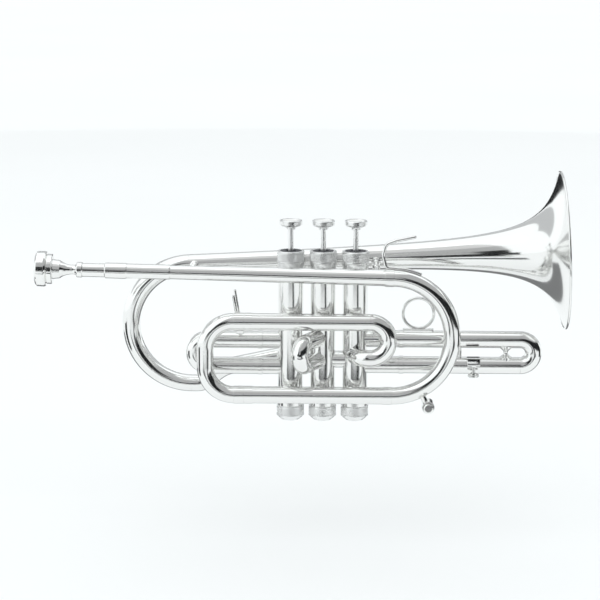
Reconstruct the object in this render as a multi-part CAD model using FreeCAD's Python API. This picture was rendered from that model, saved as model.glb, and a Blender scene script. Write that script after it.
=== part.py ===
import FreeCAD, Part

import math
import os

# Shepherd's-crook cornet in B flat, millimetres.
# +X points from the mouthpiece to the bell, +Z up along the valves, +Y to the player's left.
# The origin is on the axis of the second valve, halfway up its casing.

# ---- tubing
BORE = 5.65            # radius of the air column through the valves
INNER_TUBE = 5.95      # outside radius of a slide's inner tube
OUTER_BORE = 6.0       # inside radius of a slide's outer tube
OUTER_TUBE = 6.4       # outside radius of outer tubes and bows
FERRULE = 6.7          # outside radius of the sleeves over the joints
RUN_GAP = 0.2          # gap between a slide's moving end and its fixed end
SIDE_NEAR = -21.0      # Y of the leadpipe and the main tuning slide
SIDE_FAR = 21.0        # Y of the bell and the crook

# ---- valves
VALVE_X = [-24.4, 0.0, 24.4]
VALVE_STROKE = 16.5
CASING_OUTER = 9.7
CASING_INNER = 8.55
CASING_BOTTOM = -58.0
CASING_TOP = 56.0
PISTON = 8.5
PISTON_BOTTOM = -38.0
PISTON_TOP = 20.0
PORT = 3.9             # radius of the passages through a piston
BARREL_OUTER = 6.8
BARREL_INNER = 6.2
BARREL_TOP = 52.0
BARREL_PLATE = 2.0
GUIDE_BOTTOM = 20.6
GUIDE_THICK = 1.5
GUIDE_WING = 3.0
SPRING_WIRE = 0.4
SPRING_COIL = 5.2
SPRING_TURNS = 8
SPRING_GAP = 0.1
STEM = 2.0
STEM_TOP = 84.0
BUTTON = 8.5
BUTTON_HUB = 3.6
BUTTON_BOTTOM = 80.5
BUTTON_TOP = 87.6
INLAY = 6.6
INLAY_SEAT = 86.4
INLAY_TOP = 87.3
CAP_BOTTOM = 51.5
CAP_TOP = 62.0           # where the felt sits
CAP_RIM = 2.3            # the grip stands this high round the felt
CAP_RADIUS = 10.25
CAP_SKIRT = 9.95
FELT_RADIUS = 8.0
FELT_THICK = 2.5
BOTTOM_CAP_RADIUS = 10.5
KNUCKLE_Z = -19.0
INLET_Z = -14.0
FIRST_UPPER_Z = -4.4
THIRD_UPPER_Z = -2.9
LEG_SPACING = 20.0
SECOND_UPPER_Z = -1.6
SECOND_LOWER_Z = -18.6

# ---- leadpipe, front bow and main tuning slide
BOW_JOINT_X = 52.8
LEADPIPE_END_Z = 47.4
LEADPIPE_SLOPE = 0.0195
FRONT_BOW_R = 44.9
LEADPIPE_START_X = -157.0
RECEIVER_START_X = -183.4
RIM_X = -214.3
UPPER_MAIN_Z = 13.5
MAIN_SLIDE_X = -58.5
MAIN_BOW_X = -66.5
MAIN_BOW_R = 21.5
MAIN_LEG_END_X = -5.0
ELBOW_R = 11.4

# ---- first and third slides
FIRST_STUB_X = -45.5
FIRST_INNER_X = -80.0
FIRST_BOW_X = -87.5
THIRD_STUB_X = 57.5
THIRD_INNER_X = 128.0
THIRD_BOW_X = 149.5
SADDLE_X = -62.5
SADDLE_TOP_Z = 31.0
SADDLE_HALF = 10.0
SADDLE_LEAN = math.tan(math.radians(9.6))
RING_X = 72.2
RING_Z = 16.9
RING_R = 11.6
RING_WIRE = 1.15
LYRE_X = 113.8
LYRE_Y = -11.0
LYRE_Z = -18.4
LYRE_BORE = 1.9
LYRE_LENGTH = 9.7

# ---- second slide, which points down and to the near side
SECOND_TURN = math.radians(27)
SECOND_STUB = 22.0
SECOND_LEG_START = 10.4
SECOND_BOW = 28.5

# ---- bell and crook
BELL_BRACE_X = [-98.0, 40.0]
BELL_MOUTH = (181.5, 21.0, 62.3)
BELL_PITCH = math.radians(2.53)
BELL_LENGTH = 284.5
BELL_JOINTS = [0.0, 14.0, 50.0, BELL_LENGTH]     # the bell's three lengths meet here, from its mouth
BELL_THROAT = 5.6
BELL_FLARE = 53.9
FLARE_LENGTH = 17.6
FLARE_POWER = 1.2
BELL_WALL = 0.5
RIM_WIRE = 0.9
CROOK_R = 46.5
TAIL_PORT_Z = -19.3

V = FreeCAD.Vector
X_AXIS = V(1, 0, 0)
Y_AXIS = V(0, 1, 0)
Z_AXIS = V(0, 0, 1)
CENTRE = V(0, 0, 0)


# ---- helpers

def save(node, *solids):
    """Write one node; several solids stay separate inside it."""
    shape = solids[0] if len(solids) == 1 else Part.makeCompound(list(solids))
    if not shape.isValid():
        raise ValueError(node + " is not valid")
    print("%-26s solids %d  volume %.1f" % (node, len(shape.Solids), shape.Volume))
    shape.exportStep(os.path.join("parts", node + ".step"))


def rod(start, direction, radius, length):
    return Part.makeCylinder(radius, length, start, direction)


def tube(start, direction, outer, inner, length):
    return rod(start, direction, outer, length).cut(rod(start, direction, inner, length))


def block(low, high):
    return Part.makeBox(high[0] - low[0], high[1] - low[1], high[2] - low[2], V(*low))


def lathe(outline, start, direction):
    """Turn an outline of (distance, radius) corners; a nested list is a smooth curve."""
    edges = []
    here = outline[0]
    for item in outline[1:] + [outline[0]]:
        if isinstance(item, list):
            curve = Part.BSplineCurve()
            curve.interpolate([V(a, 0, r) for a, r in [here] + item])
            edges.append(curve.toShape())
            here = item[-1]
        elif item != here:
            edges.append(Part.LineSegment(V(here[0], 0, here[1]), V(item[0], 0, item[1])).toShape())
            here = item
    solid = Part.Face(Part.Wire(edges)).revolve(CENTRE, X_AXIS, 360)
    solid = Part.makeSolid(solid) if solid.ShapeType == "Shell" else solid
    solid.Placement = FreeCAD.Placement(start, FreeCAD.Rotation(X_AXIS, direction))
    return solid


def arc(start, middle, end):
    return Part.Arc(start, middle, end).toShape()


def line(start, end):
    return Part.LineSegment(start, end).toShape()


def rounded(points, radius):
    """A path through the points, every corner rounded with an arc as near the radius as fits."""
    edges = []
    here = points[0]
    for before, corner, after in zip(points, points[1:], points[2:]):
        back = (before - corner).normalize()
        ahead = (after - corner).normalize()
        half_turn = (math.pi - back.getAngle(ahead)) / 2
        room = 0.48 * min((before - corner).Length, (after - corner).Length)
        reach = min(radius * math.tan(half_turn), room)
        arc_radius = reach / math.tan(half_turn)
        middle = (back + ahead).normalize()
        arc_centre = corner + middle * (arc_radius / math.cos(half_turn))
        edges.append(line(here, corner + back * reach))
        edges.append(arc(corner + back * reach, arc_centre - middle * arc_radius, corner + ahead * reach))
        here = corner + ahead * reach
    edges.append(line(here, points[-1]))
    return edges


def circle_on(edge, parameter, radius):
    circle = Part.makeCircle(radius, edge.valueAt(parameter), edge.tangentAt(parameter))
    return Part.Wire(circle)


def sweep(edges, radius, end_radius=None):
    """A round solid along the edges, tapering when a second radius is given."""
    path = Part.Wire(edges)
    first = circle_on(edges[0], edges[0].FirstParameter, radius)
    if end_radius is None:
        return path.makePipeShell([first], True, False)
    maker = Part.BRepOffsetAPI.MakePipeShell(path)
    maker.add(first)
    maker.add(circle_on(edges[-1], edges[-1].LastParameter, end_radius))
    maker.build()
    maker.makeSolid()
    return maker.shape()


def pipe(edges, outer, inner):
    return sweep(edges, outer).cut(sweep(edges, inner))


def coil_spring(radius, wire, height, turns):
    """A coil of round wire up the Z axis: tilted half rings that meet end to end."""
    rise = height / (2 * turns)
    halves = []
    for step in range(2 * turns):
        side = 1 if step % 2 == 0 else -1
        start = V(side * radius, 0, rise * step)
        end = V(-side * radius, 0, rise * (step + 1))
        section = Part.Face(Part.Wire(Part.makeCircle(wire, start, Y_AXIS)))
        halves.append(section.revolve((start + end) / 2, (start - end).cross(Y_AXIS) * side, 180))
    return halves[0].multiFuse(halves[1:])


# ---- shared lines

LEADPIPE_DIRECTION = V(1, 0, -LEADPIPE_SLOPE).normalize()
CASING_LENGTH = CASING_TOP - CASING_BOTTOM
CASING_BLANKS = [rod(V(x, 0, CASING_BOTTOM), Z_AXIS, CASING_OUTER, CASING_LENGTH) for x in VALVE_X]
SECOND_DIRECTION = V(-math.sin(SECOND_TURN), -math.cos(SECOND_TURN), 0)
BELL_DIRECTION = V(math.cos(BELL_PITCH), 0, math.sin(BELL_PITCH))


def on_leadpipe(x):
    """The point of the leadpipe's axis above the given X."""
    return V(x, SIDE_NEAR, LEADPIPE_END_Z - LEADPIPE_SLOPE * (x - BOW_JOINT_X))


def on_bell(distance):
    """The point of the bell's axis this far behind its mouth."""
    return V(*BELL_MOUTH) - BELL_DIRECTION * distance


def bell_radius(distance):
    return BELL_THROAT + BELL_FLARE * (FLARE_LENGTH / (distance + FLARE_LENGTH)) ** FLARE_POWER


# ---- mouthpiece and receiver

def make_mouthpiece():
    cup_depth = 12.5
    cup_start = 1.6
    rim_edge = 8.1
    throat = 1.9
    shank_end = 55.5
    cup = []
    for step in range(1, 9):
        depth = cup_depth * step / 8.2
        cup.append((cup_start + depth, rim_edge * math.sqrt(1 - (depth / cup_depth) ** 2)))
    outline = [
        (cup_start, rim_edge), [(0.5, 9.2), (0.0, 10.4), (0.5, 12.0), (1.8, 13.1)],
        (7.2, 13.3), (8.5, 12.6), (8.9, 10.6), (9.3, 11.2), (12.6, 11.2), (13.1, 10.4), (13.1, 7.4),
        (18.6, 6.7), [(22.0, 4.6), (26.8, 3.5), (29.6, 3.6)], (30.9, 4.37), (shank_end, 3.97),
        (shank_end, 3.2), (18.0, throat), (15.0, throat), cup[-1], cup[-2::-1] + [(cup_start, rim_edge)],
    ]
    return lathe(outline, on_leadpipe(RIM_X), LEADPIPE_DIRECTION)


def make_leadpipe():
    """The pipe as a filled blank, used to trim what is soldered to it, and the pipe itself."""
    length = (BOW_JOINT_X - LEADPIPE_START_X) / LEADPIPE_DIRECTION.x
    start = on_leadpipe(LEADPIPE_START_X)
    blank = lathe([(0, 0), (0, 4.9), (length, 6.2), (length, 0)], start, LEADPIPE_DIRECTION)
    inner = lathe([(0, 0), (0, 4.3), (length, BORE), (length, 0)], start, LEADPIPE_DIRECTION)
    return blank, blank.cut(inner)


def make_receiver(leadpipe_blank):
    """Socket for the shank, then a sleeve over the start of the leadpipe."""
    outline = [
        (0, 4.42), (0, 5.3), (0.6, 5.7), (4.0, 5.7), (4.6, 5.1), (21.0, 5.1), (21.6, 5.8), (37.0, 5.9),
        (37.6, 5.5), (69.0, 5.55), (70.0, 5.2), (70.0, 4.6), (26.4, 4.6), (26.4, 4.03),
    ]
    return lathe(outline, on_leadpipe(RECEIVER_START_X), LEADPIPE_DIRECTION).cut(leadpipe_blank)


# ---- bell, crook and tail

def bell_profile(near, far, steps):
    """Outer and inner outline of a length of bell, a wall apart, with points closer near the mouth."""
    outer = []
    inner = []
    for step in range(steps + 1):
        distance = near + (far - near) * (step / steps) ** 1.6
        radius = bell_radius(distance)
        slope = FLARE_POWER * (radius - BELL_THROAT) / (distance + FLARE_LENGTH)
        stretch = math.sqrt(1 + slope ** 2)
        outer.append((distance, radius))
        inner.append((distance - BELL_WALL * slope / stretch, radius - BELL_WALL / stretch))
    if far == BELL_LENGTH:
        inner[-1] = (far, inner[-1][1])
    return outer, inner


def make_bell():
    """The bell as a filled blank, and its lengths of wall, which meet face to face."""
    lengths = []
    for near, far in zip(BELL_JOINTS, BELL_JOINTS[1:]):
        outer, inner = bell_profile(near, far, 12)
        lengths.append(lathe([outer[0], outer[1:], inner[-1], inner[-2::-1]], on_bell(0), -BELL_DIRECTION))
    outer, inner = bell_profile(0, BELL_LENGTH, 26)
    blank = lathe([outer[0], outer[1:], (BELL_LENGTH, 0), (0, 0)], on_bell(0), -BELL_DIRECTION)
    return blank, lengths


def make_rim_wire(bell_edge):
    """The bead round the mouth; its circle lies just in front of the bell's edge."""
    ring = Part.makeTorus(BELL_FLARE + BELL_THROAT, RIM_WIRE, on_bell(-0.25), BELL_DIRECTION)
    return ring.cut(bell_edge)


def crook_path():
    """The crook leaves the bell along its axis and ends where it runs level under itself."""
    start = on_bell(BELL_LENGTH)
    centre = start + V(math.sin(BELL_PITCH), 0, -math.cos(BELL_PITCH)) * CROOK_R
    return arc(start, centre - X_AXIS * CROOK_R, centre - Z_AXIS * CROOK_R)


def elbow(corner, heading, leaving):
    """A quarter turn at a corner, from one level direction to another."""
    start = corner - heading * ELBOW_R
    end = corner + leaving * ELBOW_R
    middle = start + leaving * ELBOW_R + (heading - leaving).normalize() * ELBOW_R
    return arc(start, middle, end)


def make_crook():
    path = [crook_path()]
    throat = bell_radius(BELL_LENGTH)
    outer = sweep(path, throat, OUTER_TUBE)
    return outer.cut(sweep(path, throat - BELL_WALL, BORE + 0.2))


def make_tail():
    """An S-bend up from the crook, then an elbow into the first valve from the far side."""
    crook = crook_path()
    start = crook.valueAt(crook.LastParameter)
    corner = V(VALVE_X[0], SIDE_FAR, TAIL_PORT_Z)
    bend = V(-76, SIDE_FAR, -30.5)
    heading = (corner - bend).normalize()
    path = rounded([start, start + V(7.8, 0, 0), bend, corner - heading * ELBOW_R], 24.0)
    path.append(elbow(corner, heading, -Y_AXIS))
    path.append(line(corner - Y_AXIS * ELBOW_R, V(corner.x, CASING_INNER, corner.z)))
    return pipe(path, OUTER_TUBE, BORE).cut(CASING_BLANKS[0])


# ---- front bow, main tubes and main tuning slide

FRONT_BOW_CENTRE = on_leadpipe(BOW_JOINT_X) + V(LEADPIPE_DIRECTION.z, 0, -LEADPIPE_DIRECTION.x) * FRONT_BOW_R
LOWER_MAIN_Z = FRONT_BOW_CENTRE.z - FRONT_BOW_R


def front_bow_path():
    return arc(on_leadpipe(BOW_JOINT_X), FRONT_BOW_CENTRE + X_AXIS * FRONT_BOW_R,
               FRONT_BOW_CENTRE - Z_AXIS * FRONT_BOW_R)


def make_main_slide():
    """Two inner legs, and the bow with the sleeves that hold them."""
    upper = V(MAIN_BOW_X, SIDE_NEAR, UPPER_MAIN_Z)
    lower = V(MAIN_BOW_X, SIDE_NEAR, LOWER_MAIN_Z)
    upper_centre = upper - Z_AXIS * MAIN_BOW_R
    lower_centre = lower + Z_AXIS * MAIN_BOW_R
    diagonal = MAIN_BOW_R * math.sqrt(0.5)
    path = [
        arc(upper, upper_centre + V(-diagonal, 0, diagonal), upper_centre - X_AXIS * MAIN_BOW_R),
        line(upper_centre - X_AXIS * MAIN_BOW_R, lower_centre - X_AXIS * MAIN_BOW_R),
        arc(lower_centre - X_AXIS * MAIN_BOW_R, lower_centre - V(diagonal, 0, diagonal), lower),
    ]
    bow = pipe(path, OUTER_TUBE, BORE)
    legs = []
    sleeve = MAIN_SLIDE_X - RUN_GAP - MAIN_BOW_X
    for end in (upper, lower):
        legs.append(tube(end, X_AXIS, INNER_TUBE, BORE, MAIN_LEG_END_X - MAIN_BOW_X))
        bow = bow.fuse(tube(end, X_AXIS, FERRULE, INNER_TUBE, sleeve))
    return legs, bow


def make_inlet_bow():
    """A small U-bend back under the upper main tube, then an elbow into the third valve."""
    top = V(VALVE_X[2] + ELBOW_R, SIDE_NEAR, UPPER_MAIN_Z)
    corner = V(VALVE_X[2], SIDE_NEAR, INLET_Z)
    bottom = corner + X_AXIS * ELBOW_R
    middle = (top + bottom) / 2 + X_AXIS * (UPPER_MAIN_Z - INLET_Z) / 2
    path = [
        arc(top, middle, bottom), elbow(corner, -X_AXIS, Y_AXIS),
        line(corner + Y_AXIS * ELBOW_R, V(corner.x, -CASING_INNER, corner.z)),
    ]
    return pipe(path, OUTER_TUBE, BORE).cut(CASING_BLANKS[2])


def make_main_ferrules(leadpipe_blank):
    bow_ring = 6.5
    slide_ring = 6.0
    lower_joint = FRONT_BOW_CENTRE - Z_AXIS * FRONT_BOW_R
    upper = tube(on_leadpipe(BOW_JOINT_X - bow_ring), LEADPIPE_DIRECTION, FERRULE, 3.0, bow_ring)
    rings = [
        upper.cut(leadpipe_blank),
        tube(lower_joint - X_AXIS * bow_ring, X_AXIS, FERRULE, OUTER_TUBE, bow_ring),
    ]
    for z in (UPPER_MAIN_Z, LOWER_MAIN_Z):
        rings.append(tube(V(MAIN_SLIDE_X, SIDE_NEAR, z), X_AXIS, FERRULE, OUTER_TUBE, slide_ring))
    return rings


# ---- valves

def casing_ports(number):
    """Directions and heights of the tubes that meet a casing."""
    west = -X_AXIS
    if number == 0:
        return [(X_AXIS, KNUCKLE_Z), (Y_AXIS, TAIL_PORT_Z), (west, FIRST_UPPER_Z),
                (west, FIRST_UPPER_Z - LEG_SPACING)]
    if number == 1:
        return [(west, KNUCKLE_Z), (X_AXIS, KNUCKLE_Z), (SECOND_DIRECTION, SECOND_UPPER_Z),
                (SECOND_DIRECTION, SECOND_LOWER_Z)]
    return [(-Y_AXIS, INLET_Z), (west, KNUCKLE_Z), (X_AXIS, THIRD_UPPER_Z),
            (X_AXIS, THIRD_UPPER_Z - LEG_SPACING)]


def make_casing(number):
    x = VALVE_X[number]
    casing = CASING_BLANKS[number].cut(rod(V(x, 0, CASING_BOTTOM), Z_AXIS, CASING_INNER, CASING_LENGTH))
    for direction, z in casing_ports(number):
        casing = casing.cut(rod(V(x, 0, z), direction, BORE, 2 * CASING_OUTER))
    return casing


def passage(x, first, second, middle_z):
    """A bent hole through a piston from one port to another."""
    joint = V(x, 0, middle_z)
    hole = Part.makeSphere(PORT, joint)
    for direction, z in (first, second):
        mouth = V(x, 0, z) + direction * PISTON
        away = mouth - joint
        hole = hole.fuse(rod(joint, away, PORT, away.Length + 3))
    return hole


def make_piston(number):
    """Body with one straight-through passage, two lowered ones, and the spring barrel on top."""
    x = VALVE_X[number]
    first, second, slide_upper, slide_lower = casing_ports(number)
    body = rod(V(x, 0, PISTON_BOTTOM), Z_AXIS, PISTON, PISTON_TOP - PISTON_BOTTOM)
    body = body.cut(rod(V(x, 0, PISTON_BOTTOM), Z_AXIS, 7.0, 12.0))
    lift = VALVE_STROKE
    body = body.cut(passage(x, first, second, KNUCKLE_Z))
    body = body.cut(passage(x, (first[0], first[1] + lift), (slide_upper[0], slide_upper[1] + lift), 8.5))
    body = body.cut(passage(x, (slide_lower[0], slide_lower[1] + lift), (second[0], second[1] + lift), -4.4))
    barrel = tube(V(x, 0, PISTON_TOP), Z_AXIS, BARREL_OUTER, BARREL_INNER, BARREL_TOP - PISTON_TOP)
    barrel = barrel.fuse(rod(V(x, 0, BARREL_TOP - BARREL_PLATE), Z_AXIS, BARREL_INNER, BARREL_PLATE))
    slot_half = GUIDE_WING / 2 + 0.2
    slot_top = GUIDE_BOTTOM + GUIDE_THICK + VALVE_STROKE + 0.4
    slot = block((x - slot_half, -PISTON, PISTON_TOP + 0.2), (x + slot_half, PISTON, slot_top))
    return body.fuse(barrel.cut(slot))


def make_guide(x):
    disc = rod(V(x, 0, GUIDE_BOTTOM), Z_AXIS, BARREL_INNER - 0.3, GUIDE_THICK)
    half = GUIDE_WING / 2
    bar = block((x - half, -PISTON - 1, GUIDE_BOTTOM), (x + half, PISTON + 1, GUIDE_BOTTOM + GUIDE_THICK))
    bar = bar.common(rod(V(x, 0, GUIDE_BOTTOM), Z_AXIS, CASING_INNER, GUIDE_THICK))
    return disc.fuse(bar).cut(rod(V(x, 0, GUIDE_BOTTOM), Z_AXIS, STEM, GUIDE_THICK))


def make_spring(x):
    """Between the guide, which stays, and the barrel's top, which comes down on it."""
    bottom = GUIDE_BOTTOM + GUIDE_THICK + SPRING_WIRE + SPRING_GAP
    top = BARREL_TOP - BARREL_PLATE - SPRING_WIRE - SPRING_GAP
    spring = coil_spring(SPRING_COIL, SPRING_WIRE, top - bottom, SPRING_TURNS)
    spring.translate(V(x, 0, bottom))
    return spring


def make_stem(x):
    height = STEM_TOP - BARREL_TOP
    outline = [(0, 0), (0, 3.0), (2.2, 3.0), (2.8, STEM), (height, STEM), (height, 0)]
    return lathe(outline, V(x, 0, BARREL_TOP), Z_AXIS)


def make_button(x):
    height = BUTTON_TOP - BUTTON_BOTTOM
    outline = [
        (0, STEM), (0, BUTTON_HUB), (1.1, BUTTON_HUB), [(1.9, 5.2), (2.6, 7.2), (3.8, BUTTON)],
        (height - 0.7, BUTTON), (height, BUTTON - 0.7), (height, INLAY), (INLAY_SEAT - BUTTON_BOTTOM, INLAY),
        (INLAY_SEAT - BUTTON_BOTTOM, 0), (STEM_TOP - BUTTON_BOTTOM, 0), (STEM_TOP - BUTTON_BOTTOM, STEM),
    ]
    return lathe(outline, V(x, 0, BUTTON_BOTTOM), Z_AXIS)


def make_inlay(x):
    thick = INLAY_TOP - INLAY_SEAT
    return lathe([(0, 0), (0, INLAY), (thick, INLAY), [(thick - 0.25, INLAY / 2), (thick - 0.35, 0)]],
                 V(x, 0, INLAY_SEAT), Z_AXIS)


def make_top_cap(x):
    """A wide grip above a short plain skirt, with a shallow well for the felt in its top."""
    seat = CAP_TOP - CAP_BOTTOM
    rim = seat + CAP_RIM
    casing_end = CASING_TOP - CAP_BOTTOM
    well = FELT_RADIUS + 0.1
    outline = [
        (0, CASING_OUTER), (0, CAP_SKIRT), (3.8, CAP_SKIRT), (4.2, CAP_RADIUS), (rim - 0.6, CAP_RADIUS),
        (rim, CAP_RADIUS - 0.6), (rim, well), (seat, well), (seat, 3.1), (8.8, 3.1), (8.8, CASING_INNER),
        (casing_end, CASING_INNER), (casing_end, CASING_OUTER),
    ]
    return lathe(outline, V(x, 0, CAP_BOTTOM), Z_AXIS)


def make_bottom_cap(x):
    """Screwed over the casing, with a shallow dome and a small air hole under the piston."""
    outline = [
        (12.0, 1.5), [(11.9, 4.0), (11.2, 6.6)], (9.4, 8.9), (8.6, 9.3), (7.8, BOTTOM_CAP_RADIUS),
        (0.6, BOTTOM_CAP_RADIUS), (0, BOTTOM_CAP_RADIUS - 0.6), (0, CASING_OUTER), (3.7, CASING_OUTER),
        (3.7, CASING_INNER), (7.8, CASING_INNER), [(9.9, 6.0), (10.8, 1.5)],
    ]
    return lathe(outline, V(x, 0, CASING_BOTTOM + 3.7), -Z_AXIS)


def make_felt(x):
    return tube(V(x, 0, CAP_TOP), Z_AXIS, FELT_RADIUS, 4.2, FELT_THICK)


def between_casings(shape, number):
    return shape.cut(CASING_BLANKS[number]).cut(CASING_BLANKS[number + 1])


def make_knuckle(number):
    start = V(VALVE_X[number], 0, KNUCKLE_Z)
    return between_casings(tube(start, X_AXIS, OUTER_TUBE, BORE, VALVE_X[1] - VALVE_X[0]), number)


def make_casing_brace(number, z):
    half = 2.2
    bar = block((VALVE_X[number], -half, z - half), (VALVE_X[number + 1], half, z + half))
    return between_casings(bar, number)


# ---- first and third slides

def make_leg_pair(casing, direction, upper_z, stub, inner_end, bow):
    """Fixed tubes that the slide runs on, its moving legs, and its bow."""
    fixed = []
    legs = []
    x = VALVE_X[casing]
    inner_length = abs(inner_end - x)
    for z in (upper_z, upper_z - LEG_SPACING):
        start = V(x, 0, z)
        body = rod(start, direction, OUTER_TUBE, abs(stub - x))
        body = body.fuse(rod(start, direction, INNER_TUBE, inner_length))
        fixed.append(body.cut(rod(start, direction, BORE, inner_length)).cut(CASING_BLANKS[casing]))
        open_end = V(stub, 0, z) + direction * RUN_GAP
        leg = tube(open_end, direction, OUTER_TUBE, OUTER_BORE, abs(bow - stub) - RUN_GAP)
        legs.append(leg.fuse(tube(open_end, direction, FERRULE, OUTER_BORE, 3.4)))
    half = LEG_SPACING / 2
    top = V(bow, 0, upper_z)
    bow_path = [arc(top, top - Z_AXIS * half + direction * half, top - Z_AXIS * LEG_SPACING)]
    return fixed, legs, pipe(bow_path, OUTER_TUBE, BORE)


def leg_blank(z, start_x, end_x):
    return rod(V(start_x, 0, z), X_AXIS, OUTER_TUBE, end_x - start_x)


def make_saddle():
    """A tall U of round wire for the thumb, standing on the first slide's upper leg."""
    wire = 1.2
    base_z = FIRST_UPPER_Z + OUTER_TUBE + 1.8

    def at(y, z):
        return V(SADDLE_X - (z - base_z) * SADDLE_LEAN, y, z)

    path = rounded([at(-SADDLE_HALF - 1.5, SADDLE_TOP_Z), at(-SADDLE_HALF, base_z), at(SADDLE_HALF, base_z),
                    at(SADDLE_HALF + 1.5, SADDLE_TOP_Z)], 8.0)
    foot = block((SADDLE_X - 3, -4, FIRST_UPPER_Z), (SADDLE_X + 3, 4, base_z))
    return sweep(path, wire).fuse(foot).cut(leg_blank(FIRST_UPPER_Z, SADDLE_X - 20, SADDLE_X + 15))


def make_finger_ring():
    ring = Part.makeTorus(RING_R, RING_WIRE, V(RING_X, 0, RING_Z), Y_AXIS)
    foot = block((RING_X - 11.5, -2.6, THIRD_UPPER_Z), (RING_X + 11.5, 2.6, THIRD_UPPER_Z + OUTER_TUBE + 1.5))
    blank = leg_blank(THIRD_UPPER_Z, THIRD_STUB_X, THIRD_BOW_X)
    collar = tube(V(THIRD_STUB_X, 0, THIRD_UPPER_Z), X_AXIS, FERRULE, OUTER_BORE, 3.4 + RUN_GAP)
    return ring.fuse(foot).cut(blank).cut(collar)


def make_slide_braces():
    """A thin post and a waisted post between the third slide's legs."""
    lower_z = THIRD_UPPER_Z - LEG_SPACING
    post = rod(V(104.0, 0, lower_z), Z_AXIS, 1.3, LEG_SPACING)
    waisted = lathe([(0, 0), (0, 4.6), (6.4, 4.6), [(8.2, 2.4), (10.0, 1.7), (11.8, 2.4), (13.6, 4.6)],
                     (LEG_SPACING, 4.6), (LEG_SPACING, 0)], V(138.6, 0, lower_z), Z_AXIS)
    trimmed = []
    for brace in (post, waisted):
        for z in (THIRD_UPPER_Z, lower_z):
            brace = brace.cut(leg_blank(z, THIRD_STUB_X, THIRD_BOW_X))
        trimmed.append(brace)
    return trimmed


def make_lyre_holder():
    half = LYRE_LENGTH / 2
    body = block((LYRE_X - half, LYRE_Y - 3.4, LYRE_Z - 3.1), (LYRE_X + half, -4.0, LYRE_Z + 3.1))
    body = body.cut(leg_blank(THIRD_UPPER_Z - LEG_SPACING, LYRE_X - 20, LYRE_X + 20))
    body = body.cut(rod(V(LYRE_X - half, LYRE_Y, LYRE_Z), X_AXIS, LYRE_BORE, LYRE_LENGTH))
    return body.cut(rod(V(LYRE_X, LYRE_Y, LYRE_Z), -Z_AXIS, 1.3, 10.0))


def make_lyre_screw():
    tip = LYRE_Z - LYRE_BORE - 0.2
    head_top = LYRE_Z - 8.1
    stem = rod(V(LYRE_X, LYRE_Y, tip), -Z_AXIS, 1.25, tip - head_top + 0.2)
    head = lathe([(0, 0), (0, 2.2), (0.8, 3.9), (1.2, 4.25), (2.8, 4.25), (3.4, 3.6), (3.4, 0)],
                 V(LYRE_X, LYRE_Y, head_top), -Z_AXIS)
    return stem.fuse(head)


# ---- second slide

def make_second_slide():
    x = VALVE_X[1]
    knuckle_blank = rod(V(x, 0, KNUCKLE_Z), -X_AXIS, OUTER_TUBE, VALVE_X[1] - VALVE_X[0])
    fixed = []
    slide = None
    for z in (SECOND_UPPER_Z, SECOND_LOWER_Z):
        start = V(x, 0, z)
        body = rod(start, SECOND_DIRECTION, OUTER_TUBE, SECOND_STUB)
        body = body.cut(rod(start, SECOND_DIRECTION, OUTER_BORE, SECOND_STUB))
        fixed.append(body.cut(CASING_BLANKS[1]).cut(knuckle_blank))
        leg = tube(start + SECOND_DIRECTION * SECOND_LEG_START, SECOND_DIRECTION, INNER_TUBE, BORE,
                   SECOND_BOW - SECOND_LEG_START)
        collar = tube(start + SECOND_DIRECTION * (SECOND_STUB + RUN_GAP), SECOND_DIRECTION, OUTER_TUBE, BORE,
                      SECOND_BOW - SECOND_STUB - RUN_GAP)
        slide = leg.fuse(collar) if slide is None else slide.fuse(leg).fuse(collar)
    half = (SECOND_UPPER_Z - SECOND_LOWER_Z) / 2
    top = V(x, 0, SECOND_UPPER_Z) + SECOND_DIRECTION * SECOND_BOW
    tip = top - Z_AXIS * half + SECOND_DIRECTION * half
    return fixed, slide.fuse(pipe([arc(top, tip, top - Z_AXIS * 2 * half)], OUTER_TUBE, BORE))


# ---- braces, hook and water key

def make_bell_brace(x, leadpipe_blank, bell_blank):
    """A turned post across the instrument from the leadpipe to the bell, with a round foot on each."""
    start = on_leadpipe(x)
    behind_mouth = (BELL_MOUTH[0] - x) / BELL_DIRECTION.x
    end = on_bell(behind_mouth)
    span = (end - start).Length
    inside = 1.5                # how far a foot's blank reaches into the tube it stands on
    near = OUTER_TUBE - inside
    far = span - bell_radius(behind_mouth) + inside
    post = 2.1
    foot = [(0.0, 3.6), (2.8, 3.6), (4.0, post)]
    bead = [(-1.6, post), (-0.8, 3.0), (0.8, 3.0), (1.6, post)]
    outline = [(near, 0)] + [(near + along, radius) for along, radius in foot]
    outline += [((near + far) / 2 + along, radius) for along, radius in bead]
    outline += [(far - along, radius) for along, radius in foot[::-1]] + [(far, 0)]
    return lathe(outline, start, end - start).cut(leadpipe_blank).cut(bell_blank)


def make_finger_hook(*soldered_to):
    """A hook of round wire for the little finger; its foot lies along the top of the bow."""
    wire = 1.25
    ride = FRONT_BOW_R + OUTER_TUBE + wire - 0.4

    def on_bow(x):
        return V(x, SIDE_NEAR, FRONT_BOW_CENTRE.z + math.sqrt(ride ** 2 - (x - FRONT_BOW_CENTRE.x) ** 2))

    foot = arc(on_bow(72.5), on_bow(64.0), on_bow(55.0))
    heading = foot.tangentAt(foot.LastParameter)
    heel = V(46.8, SIDE_NEAR, on_bow(55.0).z + 0.6)
    joint = on_bow(55.0)
    points = [joint, joint + heading * 3.0, heel, V(44.6, SIDE_NEAR, 64.3), V(46.6, SIDE_NEAR, 72.6),
              V(53.8, SIDE_NEAR, 75.4), V(68.0, SIDE_NEAR, 78.4)]
    wire_path = [foot] + rounded(points, 5.0)
    hook = sweep(wire_path, wire)
    hook = hook.fuse(Part.makeSphere(wire, points[-1])).fuse(Part.makeSphere(wire, on_bow(72.5)))
    for blank in soldered_to:
        hook = hook.cut(blank)
    return hook


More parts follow.
